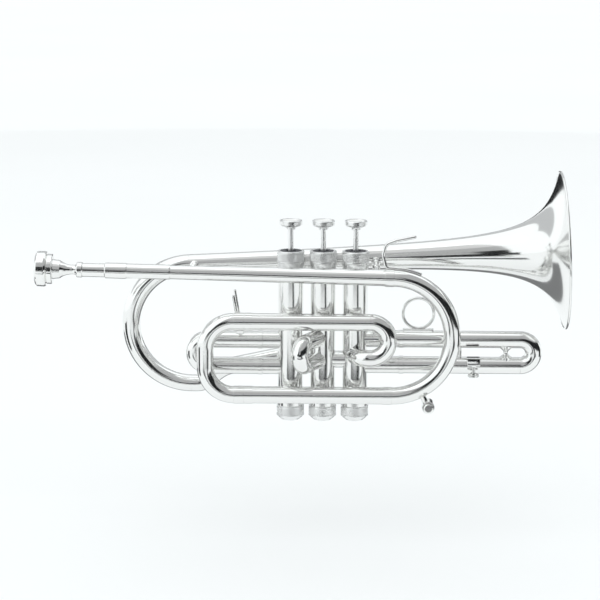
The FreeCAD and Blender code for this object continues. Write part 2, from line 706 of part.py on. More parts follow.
WATER_KEY_ANGLE = math.radians(-62.3)
WATER_KEY_OUT = V(math.cos(WATER_KEY_ANGLE), 0, math.sin(WATER_KEY_ANGLE))
WATER_KEY_CENTRE = FRONT_BOW_CENTRE + WATER_KEY_OUT * (FRONT_BOW_R + 14.5)
WATER_KEY_HALF = 6.0
DRAIN = 1.1


def drain_hole():
    return rod(FRONT_BOW_CENTRE + WATER_KEY_OUT * FRONT_BOW_R, WATER_KEY_OUT, DRAIN, 14.5)


def make_water_key(bow_blank):
    """Body across the bow with a spring-loaded plunger pushed in from the near side."""
    low = WATER_KEY_CENTRE - Y_AXIS * WATER_KEY_HALF
    neck = rod(FRONT_BOW_CENTRE + WATER_KEY_OUT * FRONT_BOW_R, WATER_KEY_OUT, 2.2, 14.5)
    body = rod(low, Y_AXIS, 4.8, 2 * WATER_KEY_HALF).fuse(neck).cut(bow_blank)
    body = body.cut(rod(low, Y_AXIS, 2.9, 2 * WATER_KEY_HALF - 1.5)).cut(drain_hole())
    plunger = lathe([(0, 0), (0, 2.9), (0.5, 3.6), (1.4, 3.6), (1.4, 2.85), (8.8, 2.85), (8.8, 1.1),
                     (12.0, 1.1), (12.0, 0)], low - Y_AXIS * 3.8, Y_AXIS)
    spring = coil_spring(2.0, 0.25, 2.7, 4)
    spring.Placement = FreeCAD.Placement(low + Y_AXIS * 7.5, FreeCAD.Rotation(Z_AXIS, Y_AXIS))
    return body, plunger, spring


# ---- write every node

def write_air_path():
    leadpipe_blank, leadpipe = make_leadpipe()
    save("mouthpiece", make_mouthpiece())
    save("receiver", make_receiver(leadpipe_blank))
    save("leadpipe", leadpipe)
    bow_blank = sweep([front_bow_path()], OUTER_TUBE)
    save("front_bow", bow_blank.cut(sweep([front_bow_path()], BORE)).cut(drain_hole()))
    ferrules = make_main_ferrules(leadpipe_blank)
    save("main_tube_ferrules", *ferrules)
    start = V(MAIN_SLIDE_X, SIDE_NEAR, LOWER_MAIN_Z)
    save("lower_main_tube", tube(start, X_AXIS, OUTER_TUBE, OUTER_BORE, FRONT_BOW_CENTRE.x - MAIN_SLIDE_X))
    start = V(MAIN_SLIDE_X, SIDE_NEAR, UPPER_MAIN_Z)
    save("upper_main_tube", tube(start, X_AXIS, OUTER_TUBE, OUTER_BORE, VALVE_X[2] + ELBOW_R - MAIN_SLIDE_X))
    legs, bow = make_main_slide()
    save("main_slide_legs", *legs)
    save("main_slide_bow", bow)
    save("inlet_bow", make_inlet_bow())
    bell_blank, bell_lengths = make_bell()
    save("bell", *bell_lengths)
    save("bell_rim_wire", make_rim_wire(bell_lengths[0]))
    save("crook", make_crook())
    save("bell_tail", make_tail())
    save("bell_braces", *[make_bell_brace(x, leadpipe_blank, bell_blank) for x in BELL_BRACE_X])
    save("little_finger_hook", make_finger_hook(leadpipe_blank, bow_blank, ferrules[0]))
    body, plunger, spring = make_water_key(bow_blank)
    save("water_key_body", body)
    save("water_key_plunger", plunger)
    save("water_key_spring", spring)


def write_valves():
    for number, x in enumerate(VALVE_X):
        tag = "_%d" % (number + 1)
        save("valve_casing" + tag, make_casing(number))
        save("top_cap" + tag, make_top_cap(x))
        save("bottom_cap" + tag, make_bottom_cap(x))
        save("piston" + tag, make_piston(number))
        save("valve_spring" + tag, make_spring(x))
        save("valve_stem" + tag, make_stem(x))
        save("finger_button" + tag, make_button(x))
        save("button_inlay" + tag, make_inlay(x))
    save("valve_guides", *[make_guide(x) for x in VALVE_X])
    save("cap_felts", *[make_felt(x) for x in VALVE_X])
    save("valve_knuckles", make_knuckle(0), make_knuckle(1))
    save("casing_braces", *[make_casing_brace(number, z) for number in (0, 1) for z in (46.0, -46.0)])


def write_valve_slides():
    fixed, legs, bow = make_leg_pair(0, -X_AXIS, FIRST_UPPER_Z, FIRST_STUB_X, FIRST_INNER_X, FIRST_BOW_X)
    save("first_slide_inner_tubes", *fixed)
    save("first_slide_legs", *legs)
    save("first_slide_bow", bow)
    save("thumb_saddle", make_saddle())
    fixed, slide = make_second_slide()
    save("second_slide_tubes", *fixed)
    save("second_slide", slide)
    fixed, legs, bow = make_leg_pair(2, X_AXIS, THIRD_UPPER_Z, THIRD_STUB_X, THIRD_INNER_X, THIRD_BOW_X)
    save("third_slide_inner_tubes", *fixed)
    save("third_slide_legs", *legs)
    save("third_slide_bow", bow)
    save("finger_ring", make_finger_ring())
    save("third_slide_braces", *make_slide_braces())
    save("lyre_holder", make_lyre_holder())
    save("lyre_screw", make_lyre_screw())


os.makedirs("parts", exist_ok=True)
write_air_path()
write_valves()
write_valve_slides()
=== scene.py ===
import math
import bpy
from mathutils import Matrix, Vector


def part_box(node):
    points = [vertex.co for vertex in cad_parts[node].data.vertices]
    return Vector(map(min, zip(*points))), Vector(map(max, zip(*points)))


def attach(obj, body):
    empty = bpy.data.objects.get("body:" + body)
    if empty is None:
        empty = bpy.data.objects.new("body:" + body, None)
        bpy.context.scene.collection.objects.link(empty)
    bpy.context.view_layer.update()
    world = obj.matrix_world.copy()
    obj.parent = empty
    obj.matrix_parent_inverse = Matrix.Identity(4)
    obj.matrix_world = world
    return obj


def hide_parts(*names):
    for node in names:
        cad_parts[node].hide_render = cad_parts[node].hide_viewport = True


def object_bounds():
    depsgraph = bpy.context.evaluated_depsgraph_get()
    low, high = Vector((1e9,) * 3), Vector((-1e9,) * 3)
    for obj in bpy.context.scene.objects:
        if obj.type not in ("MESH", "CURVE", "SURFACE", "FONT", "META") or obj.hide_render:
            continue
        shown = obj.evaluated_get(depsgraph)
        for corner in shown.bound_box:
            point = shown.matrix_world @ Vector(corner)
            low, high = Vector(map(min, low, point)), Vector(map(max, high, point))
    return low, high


bl_info = {
    "name": "Shepherd's Crook Cornet",
    "version": (1, 0, 0),
    "blender": (4, 5, 0),
    "location": "View3D > Sidebar > Cornet",
    "description": "Builds the finished look of a silver-plated cornet on its fixed frame",
    "category": "Object",
}

from types import SimpleNamespace

import bmesh
import bpy
from bpy.props import FloatProperty, FloatVectorProperty, IntProperty, PointerProperty
from mathutils import Quaternion, Vector

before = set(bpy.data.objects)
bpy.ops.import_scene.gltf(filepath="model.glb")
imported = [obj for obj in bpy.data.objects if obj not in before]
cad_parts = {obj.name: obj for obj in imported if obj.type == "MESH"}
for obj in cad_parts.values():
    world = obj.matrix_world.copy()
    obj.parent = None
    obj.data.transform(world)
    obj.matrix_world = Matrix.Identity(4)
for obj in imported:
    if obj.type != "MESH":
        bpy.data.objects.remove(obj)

MM = 0.001
CAD_BOX = [list(corner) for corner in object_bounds()]
X_AXIS = Vector((1, 0, 0))
Y_AXIS = Vector((0, 1, 0))
Z_AXIS = Vector((0, 0, 1))
INTO_CASING = 4.0                        # tubes start this near a valve's axis, then are seated on its casing
LET_IN = 0.3                             # posts and tubes go this deep into what holds them
WIRE_LET_IN = 0.4                        # the hook and the water key go this deep into the front bow
RUN_GAP = 0.2                            # left between a slide and its stop when it is pushed home
TUBE_EDGE = 0.12                         # how much the ends of plain tubes are softened
RIM_FORWARD = 0.25                       # the rim's bead lies this far in front of the bell's edge
CREASE = math.radians(38)                # faces that meet more sharply than this are shaded apart
MAT_LIFT = 0.002                         # in metres; keeps the mats just clear of the floor
NEAR_ZERO = 1e-6
TOO_NEAR = 0.01                          # two points of a path this near count as one


# ---------------------------------------------------------------- settings

def length(name, description, default):
    """A length setting; its default is given in millimetres."""
    return FloatProperty(name=name, description=description, default=default * MM,
                         min=0.0, unit="LENGTH", precision=5)


def in_degrees(name, description, default):
    """An angle setting; its default is given in degrees."""
    return FloatProperty(name=name, description=description, default=math.radians(default), subtype="ANGLE")


def colour(name, description, default):
    return FloatVectorProperty(name=name, description=description, default=default,
                               size=3, min=0.0, max=1.0, subtype="COLOR")


class CornetTubes(bpy.types.PropertyGroup):
    """Radii of the tubing and of the wire that hooks are bent from"""

    bore: length("Bore", "Inside radius of the bows", 5.65)
    inner: length("Inner tube", "Outside radius of a slide's inner tube", 5.95)
    outer_bore: length("Outer bore", "Inside radius of a slide's outer tube", 6.0)
    outer: length("Outer tube", "Outside radius of outer tubes and bows", 6.4)
    ferrule: length("Ferrule", "Outside radius of the sleeves over the joints", 6.7)
    mouth_end: length("Leadpipe start", "Outside radius of the leadpipe at the mouthpiece", 4.9)
    bow_end: length("Leadpipe end", "Outside radius of the leadpipe at the front bow", 6.2)
    elbow: length("Elbow", "Radius of the elbows into the valves", 11.4)
    hook_wire: length("Hook wire", "Radius of the little finger hook's wire", 1.25)
    saddle_wire: length("Saddle wire", "Radius of the thumb saddle's wire", 1.2)
    ring_wire: length("Ring wire", "Radius of the finger ring's wire", 1.15)


class CornetValves(bpy.types.PropertyGroup):
    """Sizes of the casings, caps, stems and buttons"""

    casing: length("Casing", "Outside radius of a casing", 9.7)
    casing_bore: length("Casing bore", "Inside radius of a casing", 8.55)
    cap: length("Top cap", "Outside radius of a top cap", 10.25)
    cap_skirt: length("Cap skirt", "Outside radius of a top cap's skirt", 9.95)
    bottom_cap: length("Bottom cap", "Outside radius of a bottom cap", 10.5)
    stem: length("Stem", "Radius of a valve stem", 2.0)
    button: length("Button", "Outside radius of a finger button", 8.5)
    hub: length("Button hub", "Radius of the hub under a button", 3.6)
    inlay: length("Inlay", "Radius of the pearl in a button", 6.6)
    felt: length("Felt", "Outside radius of the felt washer on a cap", 8.0)
    knurl_depth: length("Knurl depth", "Depth of the diamonds cut into the caps", 0.42)
    knurls: IntProperty(name="Knurls", description="Diamonds round one cap", default=52, min=12)
    second_turn: in_degrees("Second slide turn", "Turn of the second slide towards the mouthpiece", 27)


class CornetBell(bpy.types.PropertyGroup):
    """The flare's formula: radius = throat + flare * (reach / (distance + reach)) ^ power"""

    throat: length("Throat", "Radius that the bell's bore tends to", 5.6)
    flare: length("Flare", "What the mouth's radius adds to the throat", 53.9)
    reach: length("Reach", "Distance over which the flare opens", 17.6)
    power: FloatProperty(name="Power", description="How quickly the flare opens", default=1.2)
    pitch: in_degrees("Pitch", "Rise of the bell towards its mouth", 2.53)
    span: length("Length", "Length of the bell along its axis", 284.5)
    wall: length("Wall", "Thickness of the bell's wall", 0.5)
    rim_wire: length("Rim wire", "Radius of the bead round the mouth", 0.9)
    crook: length("Crook", "Radius of the shepherd's crook", 46.5)


class CornetFinish(bpy.types.PropertyGroup):
    """Colours of the finishes"""

    silver: colour("Silver", "Bright silver plate", (0.90, 0.903, 0.90))
    tarnish: colour("Tarnish", "Silver where hands have dulled it", (0.80, 0.795, 0.775))
    alloy: colour("Valve alloy", "Pistons", (0.60, 0.59, 0.56))
    brass: colour("Brass", "Valve guides", (0.80, 0.60, 0.30))
    steel: colour("Steel", "Springs", (0.50, 0.51, 0.53))
    pearl: colour("Pearl", "Button inlays", (0.90, 0.90, 0.88))
    felt: colour("Felt", "Washers on the top caps", (0.030, 0.031, 0.033))
    floor: colour("Floor", "Studio floor", (0.90, 0.90, 0.90))


class CornetStudio(bpy.types.PropertyGroup):
    """The camera and the light around the instrument"""

    distance: length("Camera distance", "From the camera to the point it looks at", 1600)
    lens: FloatProperty(name="Lens", description="Focal length on a 36 mm sensor", default=127.07)
    azimuth: in_degrees("Azimuth", "Turn of the camera about the vertical", -1.061)
    elevation: in_degrees("Elevation", "Height of the camera as an angle", 10.602)
    roll: in_degrees("Roll", "Roll of the camera about its own axis", 0.242)
    drop: length("Drop", "How far the floor lies under the instrument's lowest point", 90)
    sky: FloatProperty(name="Sky", description="Brightness of the white all round", default=1.15)


GROUPS = {
    "cornet_tubes": CornetTubes,
    "cornet_valves": CornetValves,
    "cornet_bell": CornetBell,
    "cornet_finish": CornetFinish,
    "cornet_studio": CornetStudio,
}


def settings(name):
    """A group's settings, with its lengths in millimetres."""
    group = getattr(bpy.context.scene, name)
    found = {}
    for key in GROUPS[name].__annotations__:
        value = getattr(group, key)
        kind = group.bl_rna.properties[key]
        is_length = kind.type == "FLOAT" and kind.unit == "LENGTH"
        found[key] = value / MM if is_length else value
    return SimpleNamespace(**found)


# ---------------------------------------------------------------- places taken from the frame

def span(node):
    """Lowest and highest corner of a CAD node, in millimetres."""
    low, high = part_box(node)
    return low / MM, high / MM


def leadpipe_line():
    """Start and end of the leadpipe's axis."""
    tubes = settings("cornet_tubes")
    low, high = span("leadpipe")
    side = (low.y + high.y) / 2
    fall = (high.z - low.z - tubes.mouth_end - tubes.bow_end) / (high.x - low.x)
    return (Vector((low.x + tubes.mouth_end * fall, side, high.z - tubes.mouth_end)),
            Vector((high.x - tubes.bow_end * fall, side, low.z + tubes.bow_end)))


def on_leadpipe(x):
    start, end = leadpipe_line()
    return start.lerp(end, (x - start.x) / (end.x - start.x))


def leadpipe_direction():
    start, end = leadpipe_line()
    return (end - start).normalized()


def level_tube(node):
    """Start and end of the axis of a tube that lies along X."""
    low, high = span(node)
    side = (low.y + high.y) / 2
    height = (low.z + high.z) / 2
    return Vector((low.x, side, height)), Vector((high.x, side, height))


def leg_heights(node, radius):
    """Heights of the upper and the lower tube of a pair, from the radius at their widest."""
    low, high = span(node)
    return high.z - radius, low.z + radius


def front_bow():
    """Centre and radius of the front bow."""
    top = leadpipe_line()[1]
    bottom_z = level_tube("lower_main_tube")[0].z
    across = leadpipe_direction()
    radius = (top.z - bottom_z) / (1 + across.x)
    return top + Vector((across.z, 0, -across.x)) * radius, radius


def bell_line():
    """The centre of the mouth and the direction that the bell points in."""
    bell = settings("cornet_bell")
    low, high = span("bell_rim_wire")
    direction = Vector((math.cos(bell.pitch), 0, math.sin(bell.pitch)))
    return (low + high) / 2 - direction * RIM_FORWARD, direction


def on_bell(distance):
    mouth, direction = bell_line()
    return mouth - direction * distance


def bell_radius(distance):
    bell = settings("cornet_bell")
    return bell.throat + bell.flare * (bell.reach / (distance + bell.reach)) ** bell.power


def valve_x(number):
    """X of valve 1, 2 or 3."""
    low, high = span("valve_casing_%d" % number)
    return (low.x + high.x) / 2


# ---------------------------------------------------------------- outlines and paths

def curve_through(points, pieces=6):
    """Points along a smooth curve that passes through those given."""
    ends = [points[0]] + list(points) + [points[-1]]
    found = [Vector(points[0])]
    for a, b, c, d in zip(ends, ends[1:], ends[2:], ends[3:]):
        a, b, c, d = Vector(a), Vector(b), Vector(c), Vector(d)
        for step in range(1, pieces + 1):
            t = step / pieces
            found.append(0.5 * (2 * b + (c - a) * t + (2 * a - 5 * b + 4 * c - d) * t ** 2
                                + (3 * b - a - 3 * c + d) * t ** 3))
    return found


def softened(outline, radius=0.2):
    """Round an outline's corners, and add a point beside each that keeps the flats flat."""
    straight = math.radians(14)          # corners flatter than this stay as they are
    share = 0.2                          # the most that a corner takes of the side next to it
    beside = 2.2                         # the added points' distance, in cuts
    soft = []
    for index, corner in enumerate(outline):
        here = Vector(corner)
        back = Vector(outline[index - 1]) - here
        ahead = Vector(outline[(index + 1) % len(outline)]) - here
        if back.length < NEAR_ZERO or ahead.length < NEAR_ZERO:
            continue
        if here.y < NEAR_ZERO or math.pi - back.angle(ahead) < straight:
            soft.append(here)
            continue
        cut = min(radius, share * back.length, share * ahead.length)
        start = here + back.normalized() * cut
        end = here + ahead.normalized() * cut
        soft.append(here + back.normalized() * cut * beside)
        for t in (0, 1 / 3, 2 / 3, 1):
            soft.append(start * (1 - t) ** 2 + here * 2 * t * (1 - t) + end * t ** 2)
        soft.append(here + ahead.normalized() * cut * beside)
    return soft


def bend(start, middle, end, step=3.0):
    """Points along the arc through three points, one every few degrees."""
    a = middle - start
    b = end - start
    normal = a.cross(b)
    to_centre = (a.length_squared * b - b.length_squared * a).cross(normal)
    centre = start + to_centre / (2 * normal.length_squared)
    arm = start - centre
    last = end - centre
    angle = math.atan2(arm.cross(last).dot(normal.normalized()), arm.dot(last)) % (2 * math.pi)
    count = max(4, math.ceil(math.degrees(angle) / step))
    return [centre + Quaternion(normal, angle * k / count) @ arm for k in range(count + 1)]


def rounded(points, radius):
    """A path through the points, every corner rounded with an arc as near the radius as fits."""
    path = [points[0]]
    for before, corner, after in zip(points, points[1:], points[2:]):
        back = (before - corner).normalized()
        ahead = (after - corner).normalized()
        half_turn = (math.pi - back.angle(ahead)) / 2
        room = 0.48 * min((before - corner).length, (after - corner).length)
        reach = min(radius * math.tan(half_turn), room)
        arc_radius = reach / math.tan(half_turn)
        middle = (back + ahead).normalized()
        top = corner + middle * (arc_radius / math.cos(half_turn) - arc_radius)
        path += bend(corner + back * reach, top, corner + ahead * reach)
    return path + [points[-1]]


def elbow(corner, heading, leaving, radius):
    """A quarter turn at a corner, from one level direction to another."""
    start = corner - heading * radius
    middle = start + leaving * radius + (heading - leaving).normalized() * radius
    return bend(start, middle, corner + leaving * radius)


def half_turn(top, bottom, direction):
    """Points along the half circle that joins two level legs."""
    return bend(top, (top + bottom) / 2 + direction * (top.z - bottom.z) / 2, bottom)


def circle_outline(centre_radius, wire, along=0.0, steps=20):
    """The outline that turns into a ring of round wire."""
    turns = [2 * math.pi * k / steps for k in range(steps)]
    return [(along + wire * math.cos(t), centre_radius + wire * math.sin(t)) for t in turns]


# ---------------------------------------------------------------- mesh work

def new_mesh(bm):
    """A mesh from working geometry in millimetres, its faces turned outwards."""
    bmesh.ops.remove_doubles(bm, verts=bm.verts, dist=1e-5)
    bmesh.ops.recalc_face_normals(bm, faces=bm.faces)
    bmesh.ops.scale(bm, vec=(MM, MM, MM), verts=bm.verts)
    mesh = bpy.data.meshes.new("part")
    bm.to_mesh(mesh)
    bm.free()
    return mesh


def turned(outline, start, direction, around=96):
    """A closed outline of (distance, radius) points turned about a line."""
    turn = direction.to_track_quat("X", "Z")
    bm = bmesh.new()
    rings = []
    for along, radius in outline:
        if radius < NEAR_ZERO:
            rings.append([bm.verts.new(start + direction * along)])
            continue
        ring = []
        for k in range(around):
            angle = 2 * math.pi * k / around
            ring.append(bm.verts.new(start + turn @ Vector((along, radius * math.cos(angle),
                                                            radius * math.sin(angle)))))
        rings.append(ring)
    for first, second in zip(rings, rings[1:] + rings[:1]):
        if len(first) == 1 and len(second) == 1:
            continue
        for k in range(around):
            corners = [first[k % len(first)], first[(k + 1) % len(first)],
                       second[(k + 1) % len(second)], second[k % len(second)]]
            bm.faces.new(list(dict.fromkeys(corners)))
    return new_mesh(bm)


def straight_tube(outer, inner, start, end, around=96):
    """A plain tube with softened ends."""
    reach = (end - start).length
    outline = [(0, inner), (0, outer), (reach, outer), (reach, inner)]
    return turned(softened(outline, TUBE_EDGE), start, (end - start).normalized(), around)


def block(low, high, edge=0.5, cuts=0):
    """A small block with rounded edges; cuts divide its faces, so that it can be seated on a tube."""
    bm = bmesh.new()
    size = Vector(high) - Vector(low)
    bmesh.ops.create_cube(bm, size=1.0)
    bmesh.ops.scale(bm, vec=size, verts=bm.verts)
    bmesh.ops.translate(bm, vec=(Vector(low) + Vector(high)) / 2, verts=bm.verts)
    bmesh.ops.bevel(bm, geom=bm.edges, offset=edge, segments=4, profile=0.5, affect="EDGES")
    if cuts:
        long_edges = [e for e in bm.edges if e.calc_length() > 2 * edge]
        bmesh.ops.subdivide_edges(bm, edges=long_edges, cuts=cuts, use_grid_fill=True)
    return new_mesh(bm)


def seated(mesh, point, axis, radius, away):
    """Push the part of a mesh that lies inside a tube out to the tube's surface."""
    for vertex in mesh.vertices:
        offset = vertex.co / MM - point
        offset -= axis * offset.dot(axis)
        along = offset.dot(away)
        across = (offset - away * along).length
        if across < radius and abs(along) < math.sqrt(radius ** 2 - across ** 2):
            vertex.co += away * (math.sqrt(radius ** 2 - across ** 2) - along) * MM
    return mesh


def on_casing(mesh, number, away):
    """End a tube on the outside of a valve's casing, let a little into it."""
    skin = settings("cornet_valves").casing - LET_IN
    return seated(mesh, Vector((valve_x(number), 0, 0)), Z_AXIS, skin, away)


def tube_foot(low, high, height, edge):
    """A block that sits on top of the level tube at a height."""
    let_in = 0.2
    foot = block(low, high, edge, 6)
    return seated(foot, Z_AXIS * height, X_AXIS, settings("cornet_tubes").outer - let_in, Z_AXIS)


def placed(name, data):
    """A new object in the scene, at the origin."""
    thing = bpy.data.objects.new(name, data)
    bpy.context.scene.collection.objects.link(thing)
    return thing


def through_nodes(mesh, tree, values, wall=0.0):
    """Run a mesh through a node tree, give it a wall if asked, and return the plain result."""
    carrier = placed("carrier", mesh)
    modifier = carrier.modifiers.new("shape", "NODES")
    modifier.node_group = tree
    for item in tree.interface.items_tree:
        if item.in_out == "INPUT" and item.name in values:
            modifier[item.identifier] = values[item.name]
    if wall:
        solid = carrier.modifiers.new("wall", "SOLIDIFY")
        solid.thickness = wall * MM
        solid.offset = -1.0
        solid.use_even_offset = True
    depsgraph = bpy.context.evaluated_depsgraph_get()
    result = bpy.data.meshes.new_from_object(carrier.evaluated_get(depsgraph), depsgraph=depsgraph)
    carrier.modifiers.clear()
    bpy.data.objects.remove(carrier)
    return result


class Tree:
    """A geometry node tree while it is being built."""

    def __init__(self, name, inputs):
        self.tree = bpy.data.node_groups.new(name, "GeometryNodeTree")
        self.tree.interface.new_socket("Geometry", in_out="INPUT", socket_type="NodeSocketGeometry")
        for label, kind in inputs.items():
            self.tree.interface.new_socket(label, in_out="INPUT", socket_type="NodeSocket" + kind)
        self.tree.interface.new_socket("Geometry", in_out="OUTPUT", socket_type="NodeSocketGeometry")
        self.given = self.tree.nodes.new("NodeGroupInput").outputs

    def add(self, kind, **inputs):
        """Add a node and feed its inputs from sockets or plain values."""
        node = self.tree.nodes.new("GeometryNode" + kind)
        for label, value in inputs.items():
            self.feed(node.inputs[label.replace("_", " ")], value)
        return node

    def feed(self, socket, value):
        if isinstance(value, bpy.types.NodeSocket):
            self.tree.links.new(value, socket)
        else:
            socket.default_value = value

    def calc(self, operation, *values):
        """The output of a math node."""
        node = self.tree.nodes.new("ShaderNodeMath")
        node.operation = operation
        for socket, value in zip(node.inputs, values):
            self.feed(socket, value)
        return node.outputs[0]

    def times(self, first, second):
        return self.calc("MULTIPLY", first, second)

    def end(self, geometry):
        """Realise, paint and hand out the geometry."""
        whole = self.add("RealizeInstances", Geometry=geometry)
        painted = self.add("SetMaterial", Geometry=whole.outputs[0], Material=self.given["Material"])
        out = self.tree.nodes.new("NodeGroupOutput")
        self.tree.links.new(painted.outputs[0], out.inputs[0])
        return self.tree


def tube_tree():
    """Sweep a circle along an edge path whose points hold their own radius."""
    tree = Tree("Tube along a path", {"Around": "Int", "Closed ends": "Bool", "Material": "Material"})
    path = tree.add("MeshToCurve", Mesh=tree.given["Geometry"])
    circle = tree.add("CurvePrimitiveCircle", Resolution=tree.given["Around"], Radius=1.0)
    radius = tree.tree.nodes.new("GeometryNodeInputNamedAttribute")
    radius.data_type = "FLOAT"
    radius.inputs["Name"].default_value = "tube_radius"
    skin = tree.add("CurveToMesh", Curve=path.outputs[0], Scale=radius.outputs["Attribute"])
    tree.feed(skin.inputs["Profile Curve"], circle.outputs["Curve"])
    tree.feed(skin.inputs["Fill Caps"], tree.given["Closed ends"])
    return tree.end(skin.outputs[0])


def knurl_tree():
    """Wrap a grid round Z and raise it into rows of diamonds, with its edges left low."""
    inputs = {"Radius": "Float", "Height": "Float", "Depth": "Float", "Count": "Int", "Rows": "Int"}
    tree = Tree("Knurled band", {**inputs, "Material": "Material"})
    given = tree.given
    fine = 6
    columns = tree.calc("ADD", tree.times(given["Count"], fine), 1)
    lines = tree.calc("ADD", tree.times(given["Rows"], fine), 1)
    grid = tree.add("MeshGrid", Size_X=1.0, Size_Y=1.0)
    tree.feed(grid.inputs["Vertices X"], columns)
    tree.feed(grid.inputs["Vertices Y"], lines)
    place = tree.tree.nodes.new("ShaderNodeSeparateXYZ")
    tree.tree.links.new(tree.tree.nodes.new("GeometryNodeInputPosition").outputs[0], place.inputs[0])
    across = place.outputs["X"]
    up = place.outputs["Y"]
    turns = tree.times(across, given["Count"])
    rows = tree.times(up, given["Rows"])
    ridges = [tree.calc("PINGPONG", tree.calc(sign, turns, rows), 0.5) for sign in ("ADD", "SUBTRACT")]
    peak = tree.times(tree.calc("MINIMUM", *ridges), 2.0)
    to_edge = tree.calc("SUBTRACT", 0.5, tree.calc("ABSOLUTE", up))
    low_edge = tree.calc("MINIMUM", tree.times(to_edge, 12.0), 1.0)
    raised = tree.times(tree.times(peak, low_edge), given["Depth"])
    radius = tree.calc("ADD", given["Radius"], raised)
    angle = tree.times(across, 2 * math.pi)
    wrapped = tree.tree.nodes.new("ShaderNodeCombineXYZ")
    tree.feed(wrapped.inputs["X"], tree.times(radius, tree.calc("COSINE", angle)))
    tree.feed(wrapped.inputs["Y"], tree.times(radius, tree.calc("SINE", angle)))
    tree.feed(wrapped.inputs["Z"], tree.times(up, given["Height"]))
    bent = tree.add("SetPosition", Geometry=grid.outputs["Mesh"], Position=wrapped.outputs[0])
    closed = tree.add("MergeByDistance", Geometry=bent.outputs[0], Distance=1e-6)
    return tree.end(closed.outputs[0])


def piped(path, radii, wall=0.0, around=64):
    """A tube along points; radii is one radius, or one for each point. No wall makes a solid wire."""
    if not isinstance(radii, (list, tuple)):
        radii = [radii] * len(path)
    apart = [k for k in range(len(path)) if k == 0 or (path[k] - path[k - 1]).length > TOO_NEAR]
    path = [path[k] for k in apart]
    radii = [radii[k] for k in apart]
    mesh = bpy.data.meshes.new("path")
    mesh.from_pydata([point * MM for point in path], [(k, k + 1) for k in range(len(path) - 1)], [])
    mesh.attributes.new("tube_radius", "FLOAT", "POINT").data.foreach_set("value", [r * MM for r in radii])
    values = {"Around": around, "Closed ends": not wall, "Material": bpy.data.materials["silver_plate"]}
    return through_nodes(mesh, bpy.data.node_groups["Tube along a path"], values, wall)


def bow_tube(path):
    """A tube as wide as the bows along points."""
    tubes = settings("cornet_tubes")
    return piped(path, tubes.outer, tubes.outer - tubes.bore)


def tapered(path, start, end):
    """A radius for each point, changing evenly along the path."""
    run = [0.0]
    for a, b in zip(path, path[1:]):
        run.append(run[-1] + (b - a).length)
    return [start + (end - start) * along / run[-1] for along in run]


def wire(path, radius, around=24):
    """Round wire along points, with round ends."""
    quarter = [math.radians(a) for a in (22.5, 45, 67.5, 85)]
    first = (path[0] - path[1]).normalized()
    last = (path[-1] - path[-2]).normalized()
    head = [path[0] + first * radius * math.sin(a) for a in quarter[::-1]]
    tail = [path[-1] + last * radius * math.sin(a) for a in quarter]
    rounds = [radius * math.cos(a) for a in quarter]
    return piped(head + path + tail, rounds[::-1] + [radius] * len(path) + rounds, around=around)


def knurled(radius, low, high, centre, count, rows, depth):
    """A band of diamonds round Z from one height to another, closed behind."""
    values = {"Radius": (radius - depth) * MM, "Height": (high - low) * MM, "Depth": depth * MM,
              "Count": count, "Rows": rows, "Material": bpy.data.materials["silver_plate"]}
    thick = 0.3
    band = through_nodes(bpy.data.meshes.new("band"), bpy.data.node_groups["Knurled band"], values, thick)
    for vertex in band.vertices:
        vertex.co += Vector((centre[0], centre[1], (low + high) / 2)) * MM
    return band


def finish(name, meshes, material, body, nodes):
    """Join meshes into one piece, and hand it to the frame in place of the CAD nodes."""
    bm = bmesh.new()
    for mesh in meshes:
        bm.from_mesh(mesh)
    whole = bpy.data.meshes.new(name)
    bm.to_mesh(whole)
    bm.free()
    whole.materials.clear()
    whole.materials.append(bpy.data.materials[material])
    whole.shade_smooth()
    whole.set_sharp_from_angle(angle=CREASE)
    piece = placed(name, whole)
    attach(piece, body)
    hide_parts(*nodes)


def plated(name, meshes, body="instrument", material="silver_plate"):
    """A silver-plated piece that stands for the CAD node of its own name."""
    finish(name + "_plated", meshes, material, body, [name])


# ---------------------------------------------------------------- finishes

